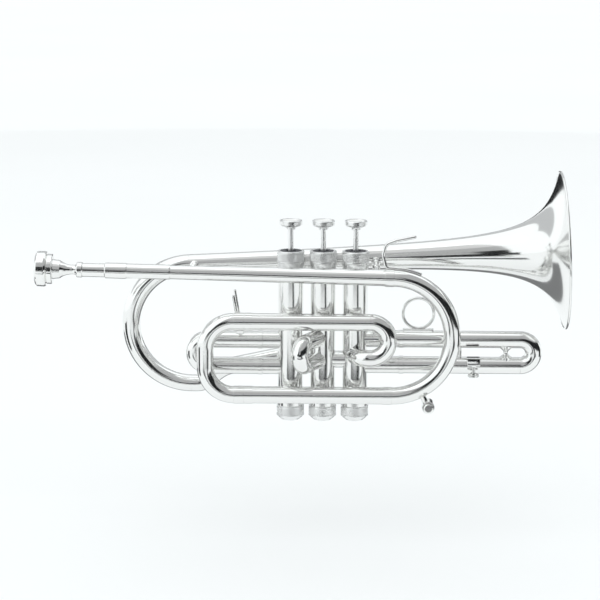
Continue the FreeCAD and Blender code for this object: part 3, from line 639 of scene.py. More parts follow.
class Paint:
    """A material while its nodes are being built."""

    def __init__(self, name):
        self.material = bpy.data.materials.new(name)
        self.material.use_nodes = True
        self.nodes = self.material.node_tree.nodes
        self.links = self.material.node_tree.links
        self.shader = next(node for node in self.nodes if node.type == "BSDF_PRINCIPLED")
        self.place = self.nodes.new("ShaderNodeTexCoord").outputs["Object"]

    def set(self, **values):
        for label, value in values.items():
            self.shader.inputs[label.replace("_", " ")].default_value = value

    def noise(self, scale, detail=3.0, stretch=(1, 1, 1)):
        """Noise in Object coordinates; the scale is in features a metre."""
        mapping = self.nodes.new("ShaderNodeMapping")
        mapping.inputs["Scale"].default_value = stretch
        noise = self.nodes.new("ShaderNodeTexNoise")
        noise.inputs["Scale"].default_value = scale
        noise.inputs["Detail"].default_value = detail
        self.links.new(self.place, mapping.inputs["Vector"])
        self.links.new(mapping.outputs[0], noise.inputs["Vector"])
        return noise.outputs["Fac"]

    def blend(self, factor, first, second, low, high):
        """Mix two colours where the factor runs from low to high."""
        ramp = self.nodes.new("ShaderNodeValToRGB")
        ramp.color_ramp.elements[0].position = low
        ramp.color_ramp.elements[1].position = high
        ramp.color_ramp.elements[0].color = (*first, 1)
        ramp.color_ramp.elements[1].color = (*second, 1)
        self.links.new(factor, ramp.inputs["Fac"])
        self.links.new(ramp.outputs["Color"], self.shader.inputs["Base Color"])

    def vary(self, factor, label, low, high):
        """Let an input follow the factor from low to high."""
        spread = self.nodes.new("ShaderNodeMapRange")
        spread.inputs["From Min"].default_value = 0.3
        spread.inputs["From Max"].default_value = 0.7
        spread.inputs["To Min"].default_value = low
        spread.inputs["To Max"].default_value = high
        self.links.new(factor, spread.inputs["Value"])
        self.links.new(spread.outputs[0], self.shader.inputs[label])

    def bump(self, height, strength, distance):
        bump = self.nodes.new("ShaderNodeBump")
        bump.inputs["Strength"].default_value = strength
        bump.inputs["Distance"].default_value = distance * MM
        self.links.new(height, bump.inputs["Height"])
        self.links.new(bump.outputs[0], self.shader.inputs["Normal"])


def paint_silver(name, finish_colours, smooth, hazy):
    """Plated silver: faint finger haze and hairline wipe marks over its reflections."""
    paint = Paint(name)
    paint.set(Metallic=1.0)
    paint.blend(paint.noise(38, 4), finish_colours.silver, finish_colours.tarnish, 0.52, 0.86)
    paint.vary(paint.noise(55, 5), "Roughness", smooth, hazy)
    paint.bump(paint.noise(900, 2, (0.2, 1, 1)), 0.04, 0.01)


def paint_metal(name, base, low, high, scale, stretch, strength):
    """A plain machined metal with turning or drawing marks."""
    paint = Paint(name)
    paint.set(Metallic=1.0)
    darker = [0.82 * part for part in base]
    marks = paint.noise(scale, 3, stretch)
    paint.blend(marks, darker, base, 0.35, 0.6)
    paint.vary(marks, "Roughness", low, high)
    paint.bump(marks, strength, 0.02)


def paint_pearl(base):
    """Mother-of-pearl: soft cloudy layers under a hard polish."""
    paint = Paint("pearl")
    paint.set(Roughness=0.22, Coat_Weight=0.6, Coat_Roughness=0.05)
    cloudy = [base[0] * 0.93, base[1] * 0.97, base[2]]
    paint.blend(paint.noise(420, 5, (1, 2.2, 1)), base, cloudy, 0.35, 0.7)
    paint.bump(paint.noise(260, 3), 0.05, 0.02)


def paint_felt(base):
    """Pressed wool: matt, with short fibres in all directions."""
    paint = Paint("felt")
    paint.set(Sheen_Weight=0.25, Sheen_Roughness=0.6)
    lighter = [2.2 * part for part in base]
    fibres = paint.noise(2600, 6)
    paint.blend(fibres, base, lighter, 0.35, 0.75)
    paint.vary(fibres, "Roughness", 0.85, 1.0)
    paint.bump(fibres, 0.7, 0.25)


class OBJECT_OT_cornet_finishes(bpy.types.Operator):
    """Make the materials and node trees, and paint the inner works, which keep the frame's shapes"""

    bl_idname = "object.cornet_finishes"
    bl_label = "Finishes"

    def execute(self, context):
        colours = settings("cornet_finish")
        paint_silver("silver_plate", colours, 0.035, 0.085)
        paint_silver("satin_silver", colours, 0.2, 0.32)
        paint_metal("valve_alloy", colours.alloy, 0.16, 0.26, 60, (1, 1, 40), 0.25)
        paint_metal("guide_brass", colours.brass, 0.2, 0.34, 300, (1, 1, 1), 0.2)
        paint_metal("spring_steel", colours.steel, 0.2, 0.32, 900, (1, 1, 1), 0.2)
        paint_pearl(colours.pearl)
        paint_felt(colours.felt)
        inner_works = {"valve_guides": "guide_brass", "water_key_spring": "spring_steel"}
        for number in (1, 2, 3):
            inner_works["piston_%d" % number] = "valve_alloy"
            inner_works["valve_spring_%d" % number] = "spring_steel"
        for node, material in inner_works.items():
            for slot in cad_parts[node].material_slots:
                slot.material = bpy.data.materials[material]
        tube_tree()
        knurl_tree()
        return {"FINISHED"}


# ---------------------------------------------------------------- the wind way

class OBJECT_OT_cornet_mouthpiece(bpy.types.Operator):
    """Turn the mouthpiece: cup, rim, beads, shank and bore"""

    bl_idname = "object.cornet_mouthpiece"
    bl_label = "Mouthpiece"

    def execute(self, context):
        cup_depth = 12.5
        throat_depth = cup_depth * 0.975    # the cup's ellipse stops here, at the throat
        cup_start = 1.6
        rim_edge = 8.1
        rim_crown = 10.4
        steps = 20
        cup = []
        for step in range(steps + 1):
            depth = throat_depth * step / steps
            cup.append((cup_start + depth, rim_edge * math.sqrt(1 - (depth / cup_depth) ** 2)))
        rim = curve_through([cup[0], (0.5, 9.2), (0.0, rim_crown), (0.5, 12.0), (1.8, 13.1)])
        beads = [(7.2, 13.3), (8.5, 12.6), (8.9, 10.6), (9.3, 11.2), (12.6, 11.2), (13.1, 10.4), (13.1, 7.4)]
        waist = curve_through([(18.6, 6.7), (22.0, 4.6), (26.8, 3.5), (29.6, 3.6)])
        shank = [(30.9, 4.37), (55.5, 3.97), (55.5, 3.2), (18.0, 1.9), (15.0, 1.9)]
        outside = softened(rim + beads + waist + shank, 0.25)
        axis = leadpipe_direction()
        tilt = rim_crown * axis.z               # the rim's front circle leans back by this much
        front = on_leadpipe(span("mouthpiece")[0].x - tilt)
        plated("mouthpiece", [turned(outside + cup[::-1], front, axis, 128)], "mouthpiece_unit")
        return {"FINISHED"}


class OBJECT_OT_cornet_leadpipe(bpy.types.Operator):
    """Draw the tapered leadpipe and turn the receiver that takes the mouthpiece"""

    bl_idname = "object.cornet_leadpipe"
    bl_label = "Leadpipe and receiver"

    def execute(self, context):
        tubes = settings("cornet_tubes")
        start, end = leadpipe_line()
        axis = leadpipe_direction()
        reach = (end - start).length
        pipe = [(0, tubes.mouth_end - 0.6), (0, tubes.mouth_end), (reach, tubes.bow_end), (reach, tubes.bore)]
        plated("leadpipe", [turned(pipe, start, axis)])
        sleeve = [
            (0, 4.42), (0, 5.3), (0.6, 5.7), (4.0, 5.7), (4.6, 5.1), (21.0, 5.1), (21.6, 5.8), (37.0, 5.9),
            (37.6, 5.5), (69.0, 5.55), (70.0, 5.2), (70.0, 4.6), (26.4, 4.6), (26.4, 4.03),
        ]
        foot = on_leadpipe(span("receiver")[0].x)
        plated("receiver", [turned(softened(sleeve, 0.2), foot, axis)])
        return {"FINISHED"}


class OBJECT_OT_cornet_main_tubes(bpy.types.Operator):
    """Bend the front bow and draw the two main tubes with the sleeves over their joints"""

    bl_idname = "object.cornet_main_tubes"
    bl_label = "Front bow and main tubes"

    def execute(self, context):
        tubes = settings("cornet_tubes")
        centre, radius = front_bow()
        top = leadpipe_line()[1]
        bottom = centre - Z_AXIS * radius
        path = bend(top, centre + X_AXIS * radius, bottom, 1.5)
        plated("front_bow", [bow_tube(path)])
        bow_ring = 6.5
        slide_ring = 6.0
        rings = [
            straight_tube(tubes.ferrule, tubes.mouth_end, top - leadpipe_direction() * bow_ring, top),
            straight_tube(tubes.ferrule, tubes.outer, bottom - X_AXIS * bow_ring, bottom),
        ]
        for node in ("lower_main_tube", "upper_main_tube"):
            start, end = level_tube(node)
            plated(node, [straight_tube(tubes.outer, tubes.outer_bore, start, end)])
            rings.append(straight_tube(tubes.ferrule, tubes.outer, start, start + X_AXIS * slide_ring))
        plated("main_tube_ferrules", rings)
        return {"FINISHED"}


class OBJECT_OT_cornet_main_slide(bpy.types.Operator):
    """Build the main tuning slide: two legs, and a bow with two quarter turns"""

    bl_idname = "object.cornet_main_slide"
    bl_label = "Main tuning slide"

    def execute(self, context):
        tubes = settings("cornet_tubes")
        low, high = span("main_slide_legs")
        bow_low, bow_high = span("main_slide_bow")
        side = (low.y + high.y) / 2
        upper, lower = [Vector((low.x, side, z)) for z in leg_heights("main_slide_legs", tubes.inner)]
        radius = low.x - bow_low.x - tubes.outer
        diagonal = radius * math.sqrt(0.5)
        upper_centre = upper - Z_AXIS * radius
        lower_centre = lower + Z_AXIS * radius
        path = bend(upper, upper_centre + Vector((-diagonal, 0, diagonal)), upper_centre - X_AXIS * radius, 2)
        path += bend(lower_centre - X_AXIS * radius, lower_centre - Vector((diagonal, 0, diagonal)), lower, 2)
        legs = []
        bow = [bow_tube(path)]
        for end in (upper, lower):
            legs.append(straight_tube(tubes.inner, tubes.bore, end, Vector((high.x, side, end.z))))
            bow.append(straight_tube(tubes.ferrule, tubes.inner, end, Vector((bow_high.x, side, end.z))))
        plated("main_slide_legs", legs, "main_tuning_slide")
        plated("main_slide_bow", bow, "main_tuning_slide")
        return {"FINISHED"}


class OBJECT_OT_cornet_inlet(bpy.types.Operator):
    """Bend the small bow and elbow that lead into the third valve"""

    bl_idname = "object.cornet_inlet"
    bl_label = "Inlet bow"

    def execute(self, context):
        tubes = settings("cornet_tubes")
        top = level_tube("upper_main_tube")[1]
        x = valve_x(3)
        corner = Vector((x, top.y, span("inlet_bow")[0].z + tubes.outer))
        path = half_turn(top, corner + X_AXIS * tubes.elbow, X_AXIS)
        path += elbow(corner, -X_AXIS, Y_AXIS, tubes.elbow)
        path.append(Vector((x, -INTO_CASING, corner.z)))
        plated("inlet_bow", [on_casing(bow_tube(path), 3, -Y_AXIS)])
        return {"FINISHED"}


class OBJECT_OT_cornet_bell(bpy.types.Operator):
    """Spin the bell from its formula, with the wire rolled into its rim"""

    bl_idname = "object.cornet_bell"
    bl_label = "Bell"

    def execute(self, context):
        bell = settings("cornet_bell")
        steps = 90
        crowding = 2.2                   # brings the rings closer together towards the mouth
        outer = []
        inner = []
        for step in range(steps + 1):
            distance = bell.span * (step / steps) ** crowding
            radius = bell_radius(distance)
            slope = bell.power * (radius - bell.throat) / (distance + bell.reach)
            stretch = math.sqrt(1 + slope ** 2)
            outer.append((distance, radius))
            inner.append((distance - bell.wall * slope / stretch, radius - bell.wall / stretch))
        inner[-1] = (bell.span, inner[-1][1])
        mouth, direction = bell_line()
        plated("bell", [turned(outer + inner[::-1], mouth, -direction, 192)])
        bead = circle_outline(bell.throat + bell.flare, bell.rim_wire, RIM_FORWARD)
        plated("bell_rim_wire", [turned(bead, mouth, direction, 192)])
        return {"FINISHED"}


class OBJECT_OT_cornet_crook(bpy.types.Operator):
    """Bend the shepherd's crook, and the tail from it into the first valve"""

    bl_idname = "object.cornet_crook"
    bl_label = "Crook and tail"

    def execute(self, context):
        tubes = settings("cornet_tubes")
        bell = settings("cornet_bell")
        start = on_bell(bell.span)
        centre = start + Vector((math.sin(bell.pitch), 0, -math.cos(bell.pitch))) * bell.crook
        path = bend(start, centre - X_AXIS * bell.crook, centre - Z_AXIS * bell.crook, 1.5)
        radii = tapered(path, bell_radius(bell.span), tubes.outer)
        plated("crook", [piped(path, radii, bell.wall)])
        end = path[-1]
        level_run = 7.8                  # the tail leaves the crook level, then falls to its low turn
        tail_bend = 24.0
        corner = Vector((valve_x(1), end.y, span("bell_tail")[1].z - tubes.outer))
        low_turn = Vector((-76, end.y, -30.5))
        heading = (corner - low_turn).normalized()
        corners = [end, end + X_AXIS * level_run, low_turn, corner - heading * tubes.elbow]
        tail = rounded(corners, tail_bend)[:-1]
        tail += elbow(corner, heading, -Y_AXIS, tubes.elbow)
        tail.append(Vector((corner.x, INTO_CASING, corner.z)))
        plated("bell_tail", [on_casing(bow_tube(tail), 1, Y_AXIS)])
        return {"FINISHED"}


class OBJECT_OT_cornet_braces(bpy.types.Operator):
    """Turn the two posts that hold the bell to the leadpipe"""

    bl_idname = "object.cornet_braces"
    bl_label = "Bell braces"

    def execute(self, context):
        low, high = span("bell_braces")
        mouth, direction = bell_line()
        pipe_radius = settings("cornet_tubes").outer - LET_IN
        foot_radius = 3.6
        inside = 3.0                     # the feet are this much too long until they are seated
        post = 2.1
        steps = [foot_radius * k / 5 for k in range(6)]
        posts = []
        for x in (low.x + foot_radius, high.x - foot_radius):
            start = on_leadpipe(x)
            behind_mouth = (mouth.x - x) / direction.x
            end = on_bell(behind_mouth)
            throat = bell_radius(behind_mouth) - LET_IN
            near = pipe_radius - inside
            far = (end - start).length - throat + inside
            middle = (near + far) / 2
            outline = [(near, r) for r in steps] + [(near + 4.5, foot_radius), (near + 5.7, post)]
            outline += [(middle - 1.6, post), (middle - 0.8, 3.0), (middle + 0.8, 3.0), (middle + 1.6, post)]
            outline += [(far - 5.7, post), (far - 4.5, foot_radius)] + [(far, r) for r in reversed(steps)]
            across = (end - start).normalized()
            brace = turned(softened(outline, 0.35), start, across, 64)
            brace = seated(brace, start, leadpipe_direction(), pipe_radius, across)
            posts.append(seated(brace, end, direction, throat, -across))
        plated("bell_braces", posts)
        return {"FINISHED"}


class OBJECT_OT_cornet_hook(bpy.types.Operator):
    """Bend the little finger hook from round wire"""

    bl_idname = "object.cornet_hook"
    bl_label = "Little finger hook"

    def execute(self, context):
        tubes = settings("cornet_tubes")
        centre, radius = front_bow()
        ride = radius + tubes.outer + tubes.hook_wire - WIRE_LET_IN

        def on_bow(x):
            return Vector((x, centre.y, centre.z + math.sqrt(ride ** 2 - (x - centre.x) ** 2)))

        foot = bend(on_bow(72.5), on_bow(64.0), on_bow(55.0))
        joint = foot[-1]
        heading = (foot[-1] - foot[-2]).normalized()
        turns = [(46.8, joint.z + 0.6), (44.6, 64.3), (46.6, 72.6), (53.8, 75.4), (68.0, 78.4)]
        points = [joint, joint + heading * 3.0] + [Vector((x, centre.y, z)) for x, z in turns]
        plated("little_finger_hook", [wire(foot + rounded(points, 5.0)[1:], tubes.hook_wire)])
        return {"FINISHED"}


class OBJECT_OT_cornet_water_key(bpy.types.Operator):
    """Turn the water key's body, its neck and the button that opens it"""

    bl_idname = "object.cornet_water_key"
    bl_label = "Water key"

    def execute(self, context):
        centre, radius = front_bow()
        low, high = span("water_key_plunger")
        middle = Vector(((low.x + high.x) / 2, centre.y, (low.z + high.z) / 2))
        out = (middle - centre).normalized()
        body_low, body_high = span("water_key_body")
        back = Vector((middle.x, body_low.y, middle.z))
        front = Vector((middle.x, low.y, middle.z))
        depth = body_high.y - body_low.y
        floor = depth - 1.5
        shell_radius = 4.8
        bore = 2.9
        shell = [(0, bore), (0, shell_radius), (depth, shell_radius), (depth, 0), (floor, 0), (floor, bore)]
        neck = [(0, 1.1), (0, 2.2), (10.0, 2.2), (10.0, 1.1)]
        bow_skin = centre + out * (radius + settings("cornet_tubes").outer - WIRE_LET_IN)
        plated("water_key_body", [
            turned(softened(shell, 0.4), back, Y_AXIS, 64),
            turned(neck, bow_skin, out, 48),
        ])
        button = [(0, 0), (0, bore), (0.5, 3.6), (1.4, 3.6), (1.4, 2.85), (8.8, 2.85), (8.8, 1.1)]
        button += [(12.0, 1.1), (12.0, 0)]
        plated("water_key_plunger", [turned(softened(button, 0.25), front, Y_AXIS, 64)], "water_key_button")
        return {"FINISHED"}


# ---------------------------------------------------------------- the valves

def top_cap_outline(valves, groove):
    """A top cap: a plain skirt, a grip with a groove for the knurling, and a well for the felt."""
    low, high = span("top_cap_1")
    seat = span("cap_felts")[0].z - low.z
    rim = high.z - low.z
    cap = valves.cap
    skirt = valves.cap_skirt
    bore = valves.casing_bore
    well = valves.felt + 0.1
    stem_hole = 3.1
    ceiling = 8.8
    step = 4.5                           # the casing's end stands against this
    return [
        (0, valves.casing), (0, skirt), (3.8, skirt), (4.2, cap), (5.0, cap), (5.3, groove),
        (rim - 1.4, groove), (rim - 1.1, cap), (rim - 0.5, cap), (rim, cap - 0.5), (rim, well), (seat, well),
        (seat, stem_hole), (ceiling, stem_hole), (ceiling, bore), (step, bore), (step, valves.casing),
    ]


def bottom_cap_outline(valves, groove):
    """A bottom cap from its lip down to its domed floor, which has a hole in the middle."""
    wide = valves.bottom_cap
    bore = valves.casing_bore
    hole = 1.5
    step = 3.7                           # the casing's end stands against this
    dome = curve_through([(12.0, hole), (11.9, 4.0), (11.2, 6.6)])
    grip = [
        (9.4, 8.9), (8.6, 9.3), (7.8, wide), (7.0, wide), (6.7, groove), (1.9, groove), (1.6, wide),
        (0.6, wide), (0, wide - 0.6), (0, valves.casing), (step, valves.casing), (step, bore), (7.8, bore),
    ]
    inside = curve_through([(7.8, bore), (9.9, 6.0), (10.8, hole)])
    return dome + grip + inside[1:]


class OBJECT_OT_cornet_valves(bpy.types.Operator):
    """Build each valve's casing, caps, felt, stem, button and pearl"""

    bl_idname = "object.cornet_valves"
    bl_label = "Valves"

    def execute(self, context):
        valves = settings("cornet_valves")
        felt_low, felt_high = span("cap_felts")
        thick = felt_high.z - felt_low.z
        hole = 4.2
        felt = softened([(0, hole), (0, valves.felt), (thick, valves.felt), (thick, hole)], 0.5)
        felts = []
        for number in (1, 2, 3):
            x = valve_x(number)
            tag = "_%d" % number
            self.make_casing(valves, x, tag)
            self.make_moving_top(valves, x, tag)
            felts.append(turned(felt, Vector((x, 0, felt_low.z)), Z_AXIS))
        finish("cap_felts_pressed", felts, "felt", "instrument", ["cap_felts"])
        return {"FINISHED"}

    def make_casing(self, valves, x, tag):
        centre = Vector((x, 0, 0))
        bottom, top = [centre + Z_AXIS * corner.z for corner in span("valve_casing" + tag)]
        plated("valve_casing" + tag, [straight_tube(valves.casing, valves.casing_bore, bottom, top, 128)])
        under = valves.knurl_depth + 0.1     # the groove under a band is this deep
        low, high = [corner.z for corner in span("top_cap" + tag)]
        outline = softened(top_cap_outline(valves, valves.cap - under), 0.25)
        self.make_cap("top_cap" + tag, outline, valves.cap, centre, low, Z_AXIS, (low + 5.1, high - 1.2), 5)
        rim = span("bottom_cap" + tag)[1].z
        outline = softened(bottom_cap_outline(valves, valves.bottom_cap - under), 0.25)
        self.make_cap("bottom_cap" + tag, outline, valves.bottom_cap, centre, rim, -Z_AXIS,
                      (rim - 6.9, rim - 1.7), 4)

    def make_cap(self, name, outline, radius, centre, start, direction, grip, rows):
        """A turned cap with its band of diamonds between the grip's two heights."""
        valves = settings("cornet_valves")
        cap = turned(outline, centre + Z_AXIS * start, direction, 128)
        band = knurled(radius, *grip, centre, valves.knurls, rows, valves.knurl_depth)
        plated(name, [cap, band], material="satin_silver")

    def make_moving_top(self, valves, x, tag):
        body = "valve" + tag
        low, high = span("valve_stem" + tag)
        reach = high.z - low.z
        stem = [(0, 0), (0, 3.0), (2.2, 3.0), (2.8, valves.stem), (reach, valves.stem), (reach, 0)]
        rod = turned(softened(stem), Vector((x, 0, low.z)), Z_AXIS, 48)
        plated("valve_stem" + tag, [rod], body, "satin_silver")
        low, high = span("finger_button" + tag)
        tall = high.z - low.z
        inlay_low, inlay_high = span("button_inlay" + tag)
        seat = inlay_low.z - low.z
        stem_top = reach + span("valve_stem" + tag)[0].z - low.z
        under = curve_through([(1.1, valves.hub), (1.9, 5.2), (2.6, 7.2), (3.8, valves.button)])
        outline = [(0, valves.stem), (0, valves.hub)] + under + [
            (tall - 0.7, valves.button), (tall, valves.button - 0.7), (tall, valves.inlay),
            (seat, valves.inlay), (seat, 0), (stem_top, 0), (stem_top, valves.stem),
        ]
        button = turned(softened(outline, 0.3), Vector((x, 0, low.z)), Z_AXIS)
        plated("finger_button" + tag, [button], body, "satin_silver")
        thick = inlay_high.z - inlay_low.z
        hollow = curve_through([(thick, valves.inlay), (thick - 0.25, valves.inlay / 2), (thick - 0.35, 0)])
        disc = softened([(0, 0), (0, valves.inlay)] + hollow, 0.12)
        pearl = turned(disc, Vector((x, 0, inlay_low.z)), Z_AXIS)
        finish("button_pearl" + tag, [pearl], "pearl", body, ["button_inlay" + tag])


class OBJECT_OT_cornet_cluster(bpy.types.Operator):
    """Join the casings with their knuckle tubes and small square braces"""

    bl_idname = "object.cornet_cluster"
    bl_label = "Knuckles and casing braces"

    def execute(self, context):
        tubes = settings("cornet_tubes")
        low, high = span("valve_knuckles")
        height = (low.z + high.z) / 2
        low, high = span("casing_braces")
        half = high.y
        sunk = settings("cornet_valves").casing - 0.9
        knuckles = []
        braces = []
        for left, right in ((1, 2), (2, 3)):
            start = Vector((valve_x(left) + INTO_CASING, 0, height))
            end = Vector((valve_x(right) - INTO_CASING, 0, height))
            knuckle = straight_tube(tubes.outer, tubes.bore, start, end)
            knuckles.append(on_casing(on_casing(knuckle, left, X_AXIS), right, -X_AXIS))
            for z in (high.z - half, low.z + half):
                braces.append(block((valve_x(left) + sunk, -half, z - half),
                                    (valve_x(right) - sunk, half, z + half), 0.7))
        plated("valve_knuckles", knuckles)
        plated("casing_braces", braces)
        return {"FINISHED"}


# ---------------------------------------------------------------- the valve slides

def stepped_tube(start, direction, bore, wide, step, narrow, long):
    """A tube that is wide as far as its step, and narrow from there on."""
    outline = [(0, bore), (0, wide), (step, wide), (step, narrow), (long, narrow), (long, bore)]
    return turned(softened(outline, TUBE_EDGE), start, direction)


def build_slide(which, valve, direction, body):
    """The first or the third slide: fixed tubes with inner tubes to run on, moving legs and bow."""
    tubes = settings("cornet_tubes")
    root = valve_x(valve) + direction.x * INTO_CASING
    far = 0 if direction.x < 0 else 1
    legs = span(which + "_slide_legs")
    mouth = legs[1 - far].x
    end = legs[far].x
    stub = abs(mouth - root) - RUN_GAP
    long = abs(span(which + "_slide_inner_tubes")[far].x - root)
    ferrule_long = 3.4
    heights = leg_heights(which + "_slide_legs", tubes.ferrule)
    fixed = []
    moving = []
    for z in heights:
        tube = stepped_tube(Vector((root, 0, z)), direction, tubes.bore, tubes.outer, stub, tubes.inner, long)
        fixed.append(on_casing(tube, valve, direction))
        moving.append(stepped_tube(Vector((mouth, 0, z)), direction, tubes.outer_bore,
                                   tubes.ferrule, ferrule_long, tubes.outer, abs(end - mouth)))
    top, bottom = [Vector((end, 0, z)) for z in heights]
    plated(which + "_slide_inner_tubes", fixed)
    plated(which + "_slide_legs", moving, body)
    plated(which + "_slide_bow", [bow_tube(half_turn(top, bottom, direction))], body)
    return heights


class OBJECT_OT_cornet_first_slide(bpy.types.Operator):
    """Build the first valve's slide and the saddle that the thumb pushes"""

    bl_idname = "object.cornet_first_slide"
    bl_label = "First valve slide"

    def execute(self, context):
        tubes = settings("cornet_tubes")
        upper = build_slide("first", 1, -X_AXIS, "first_valve_slide")[0]
        high = span("thumb_saddle")[1]
        foot_half = 3.0
        base = upper + tubes.outer + 1.8
        foot_x = high.x - foot_half
        lean = math.tan(math.radians(9.6))
        top = high.z - tubes.saddle_wire * lean
        half = high.y - tubes.saddle_wire

        def at(y, z):
            return Vector((foot_x - (z - base) * lean, y, z))

        loop = rounded([at(-half, top), at(1.5 - half, base), at(half - 1.5, base), at(half, top)], 8.0)
        foot = tube_foot((foot_x - foot_half, -4, upper + 4.5), (foot_x + foot_half, 4, base), upper, 0.5)
        plated("thumb_saddle", [wire(loop, tubes.saddle_wire), foot], "first_valve_slide")
        return {"FINISHED"}


class OBJECT_OT_cornet_second_slide(bpy.types.Operator):
    """Build the second valve's short slide, which points down and towards the mouthpiece"""

    bl_idname = "object.cornet_second_slide"
    bl_label = "Second valve slide"

    def execute(self, context):
        tubes = settings("cornet_tubes")
        turn = settings("cornet_valves").second_turn
        direction = Vector((-math.sin(turn), -math.cos(turn), 0))
        stub = 22.0                      # distances from the valve's axis
        leg_start = 10.4
        bow_start = 28.5
        fixed = []
        slide = []
        ends = []
        for z in leg_heights("second_slide_tubes", tubes.outer):
            axis = Vector((valve_x(2), 0, z))
            root, mouth, leg, stop, end = [
                axis + direction * out for out in (INTO_CASING, stub, leg_start, stub + RUN_GAP, bow_start)]
            fixed.append(on_casing(straight_tube(tubes.outer, tubes.outer_bore, root, mouth), 2, direction))
            slide.append(straight_tube(tubes.inner, tubes.bore, leg, end))
            slide.append(straight_tube(tubes.outer, tubes.bore, stop, end))
            ends.append(end)
        slide.append(bow_tube(half_turn(*ends, direction)))
        plated("second_slide_tubes", fixed)
        plated("second_slide", slide, "second_valve_slide")
        return {"FINISHED"}


class OBJECT_OT_cornet_third_slide(bpy.types.Operator):
    """Build the third valve's slide with its finger ring, braces, lyre holder and thumb screw"""

    bl_idname = "object.cornet_third_slide"
    bl_label = "Third valve slide"

    def execute(self, context):
        upper, lower = build_slide("third", 3, X_AXIS, "third_valve_slide")
        self.make_ring(upper)
        self.make_braces(upper, lower)
        self.make_lyre_holder(lower)
        return {"FINISHED"}

    def make_ring(self, upper):
        tubes = settings("cornet_tubes")
        low, high = span("finger_ring")
        x = (low.x + high.x) / 2
        foot_long = 11.5
        ring_radius = 11.6
        centre = Vector((x, 0, high.z - ring_radius - tubes.ring_wire))
        ring = turned(circle_outline(ring_radius, tubes.ring_wire), centre, Y_AXIS, 128)
        base = upper + tubes.outer
        foot = tube_foot((x - foot_long, -2.6, base - 1.6), (x + foot_long, 2.6, base + 1.5), upper, 0.6)
        plated("finger_ring", [ring, foot], "third_valve_slide")

    def make_braces(self, upper, lower):
        gap = upper - lower
        sunk = settings("cornet_tubes").outer - LET_IN
        low, high = span("third_slide_braces")
        thin = 1.3
        wide = 4.6
        post = [(sunk, 0), (sunk, thin), (gap - sunk, thin), (gap - sunk, 0)]
        waist = curve_through([(6.4, wide), (8.2, 2.4), (10.0, 1.7), (11.8, 2.4), (13.6, wide)])
        inside = 3.0                     # the flats are this far inside until they are seated
        steps = [wide * k / 5 for k in range(6)]
        flat = [(inside, r) for r in steps]
        far_flat = [(gap - inside, r) for r in reversed(steps)]
        waisted = turned(flat + waist + far_flat, Vector((high.x - wide, 0, lower)), Z_AXIS, 64)
        for z, away in ((lower, Z_AXIS), (upper, -Z_AXIS)):
            waisted = seated(waisted, Vector((0, 0, z)), X_AXIS, sunk, away)
        posts = [turned(softened(post), Vector((low.x + thin, 0, lower)), Z_AXIS, 48), waisted]
        plated("third_slide_braces", posts, "third_valve_slide")

    def make_lyre_holder(self, lower):
        low, high = span("lyre_holder")
        screw_low, screw_high = span("lyre_screw")
        x = (low.x + high.x) / 2
        y = (screw_low.y + screw_high.y) / 2
        z = (low.z + high.z) / 2
        bore = 1.9
        slot = 1.3                       # half of the gap that the screw goes through
        box = [
            (low, (high.x, y - bore, high.z)),
            ((low.x, low.y, z + bore), high),
            ((low.x, y + bore, low.z), high),
            (low, (x - slot, high.y, z - bore)),
            ((x + slot, low.y, low.z), (high.x, high.y, z - bore)),
        ]
        plated("lyre_holder", [block(*corners, 0.35) for corners in box], "third_valve_slide")
        head_long = 3.4
        stem_radius = 1.25
        head_top = screw_low.z + head_long
        stem_foot = head_top - 0.2
        reach = screw_high.z - head_top + 0.2
        stem = [(0, 0), (0, stem_radius), (reach, stem_radius), (reach, 0)]
        head = [(0, 0), (0, 2.2), (0.8, 3.6), (0.9, 3.8), (3.0, 3.8), (3.1, 3.4), (head_long, 3.2)]
        head.append((head_long, 0))
        centre = Vector((x, y, 0))
        plated("lyre_screw", [
            turned(softened(stem), centre + Z_AXIS * stem_foot, Z_AXIS, 32),
            turned(softened(head, 0.15), centre + Z_AXIS * head_top, -Z_AXIS, 64),
            knurled(4.25, head_top - 2.9, head_top - 1.0, centre, 26, 2, 0.35),
        ], "lyre_screw_unit")


# ---------------------------------------------------------------- the studio

def glow(name, tint, strength):
    """A plain glowing material for cards that only the metal sees."""
    material = bpy.data.materials.new(name)
    material.use_nodes = True
    nodes = material.node_tree.nodes
    nodes.clear()
    light = nodes.new("ShaderNodeEmission")
    light.inputs["Color"].default_value = (*tint, 1)
    light.inputs["Strength"].default_value = strength
    out = nodes.new("ShaderNodeOutputMaterial")
    material.node_tree.links.new(light.outputs[0], out.inputs["Surface"])


def card(name, corners, faces, material):
    """A card that only the metal sees."""
    mesh = bpy.data.meshes.new(name)
    mesh.from_pydata(corners, [], faces)
    mesh.materials.append(bpy.data.materials[material])
    screen = placed(name, mesh)
    screen.visible_camera = False
    screen.visible_diffuse = False
    screen.visible_shadow = False


def curved_card(name, material, radius, heights, turns):
    """A card curved round the instrument; heights and turns are ranges in degrees, turns from the front."""
    rows = 12
    columns = 48
    corners = []
    faces = []
    for row in range(rows + 1):
        lift = math.radians(heights[0] + (heights[1] - heights[0]) * row / rows)
        level = radius * math.cos(lift)
        for column in range(columns + 1):
            turn = math.radians(turns[0] + (turns[1] - turns[0]) * column / columns)
            corners.append((level * math.sin(turn), -level * math.cos(turn), radius * math.sin(lift)))
            if row and column:
                last = len(corners) - 1
                faces.append((last - columns - 2, last - columns - 1, last, last - 1))
    card(name, corners, faces, material)


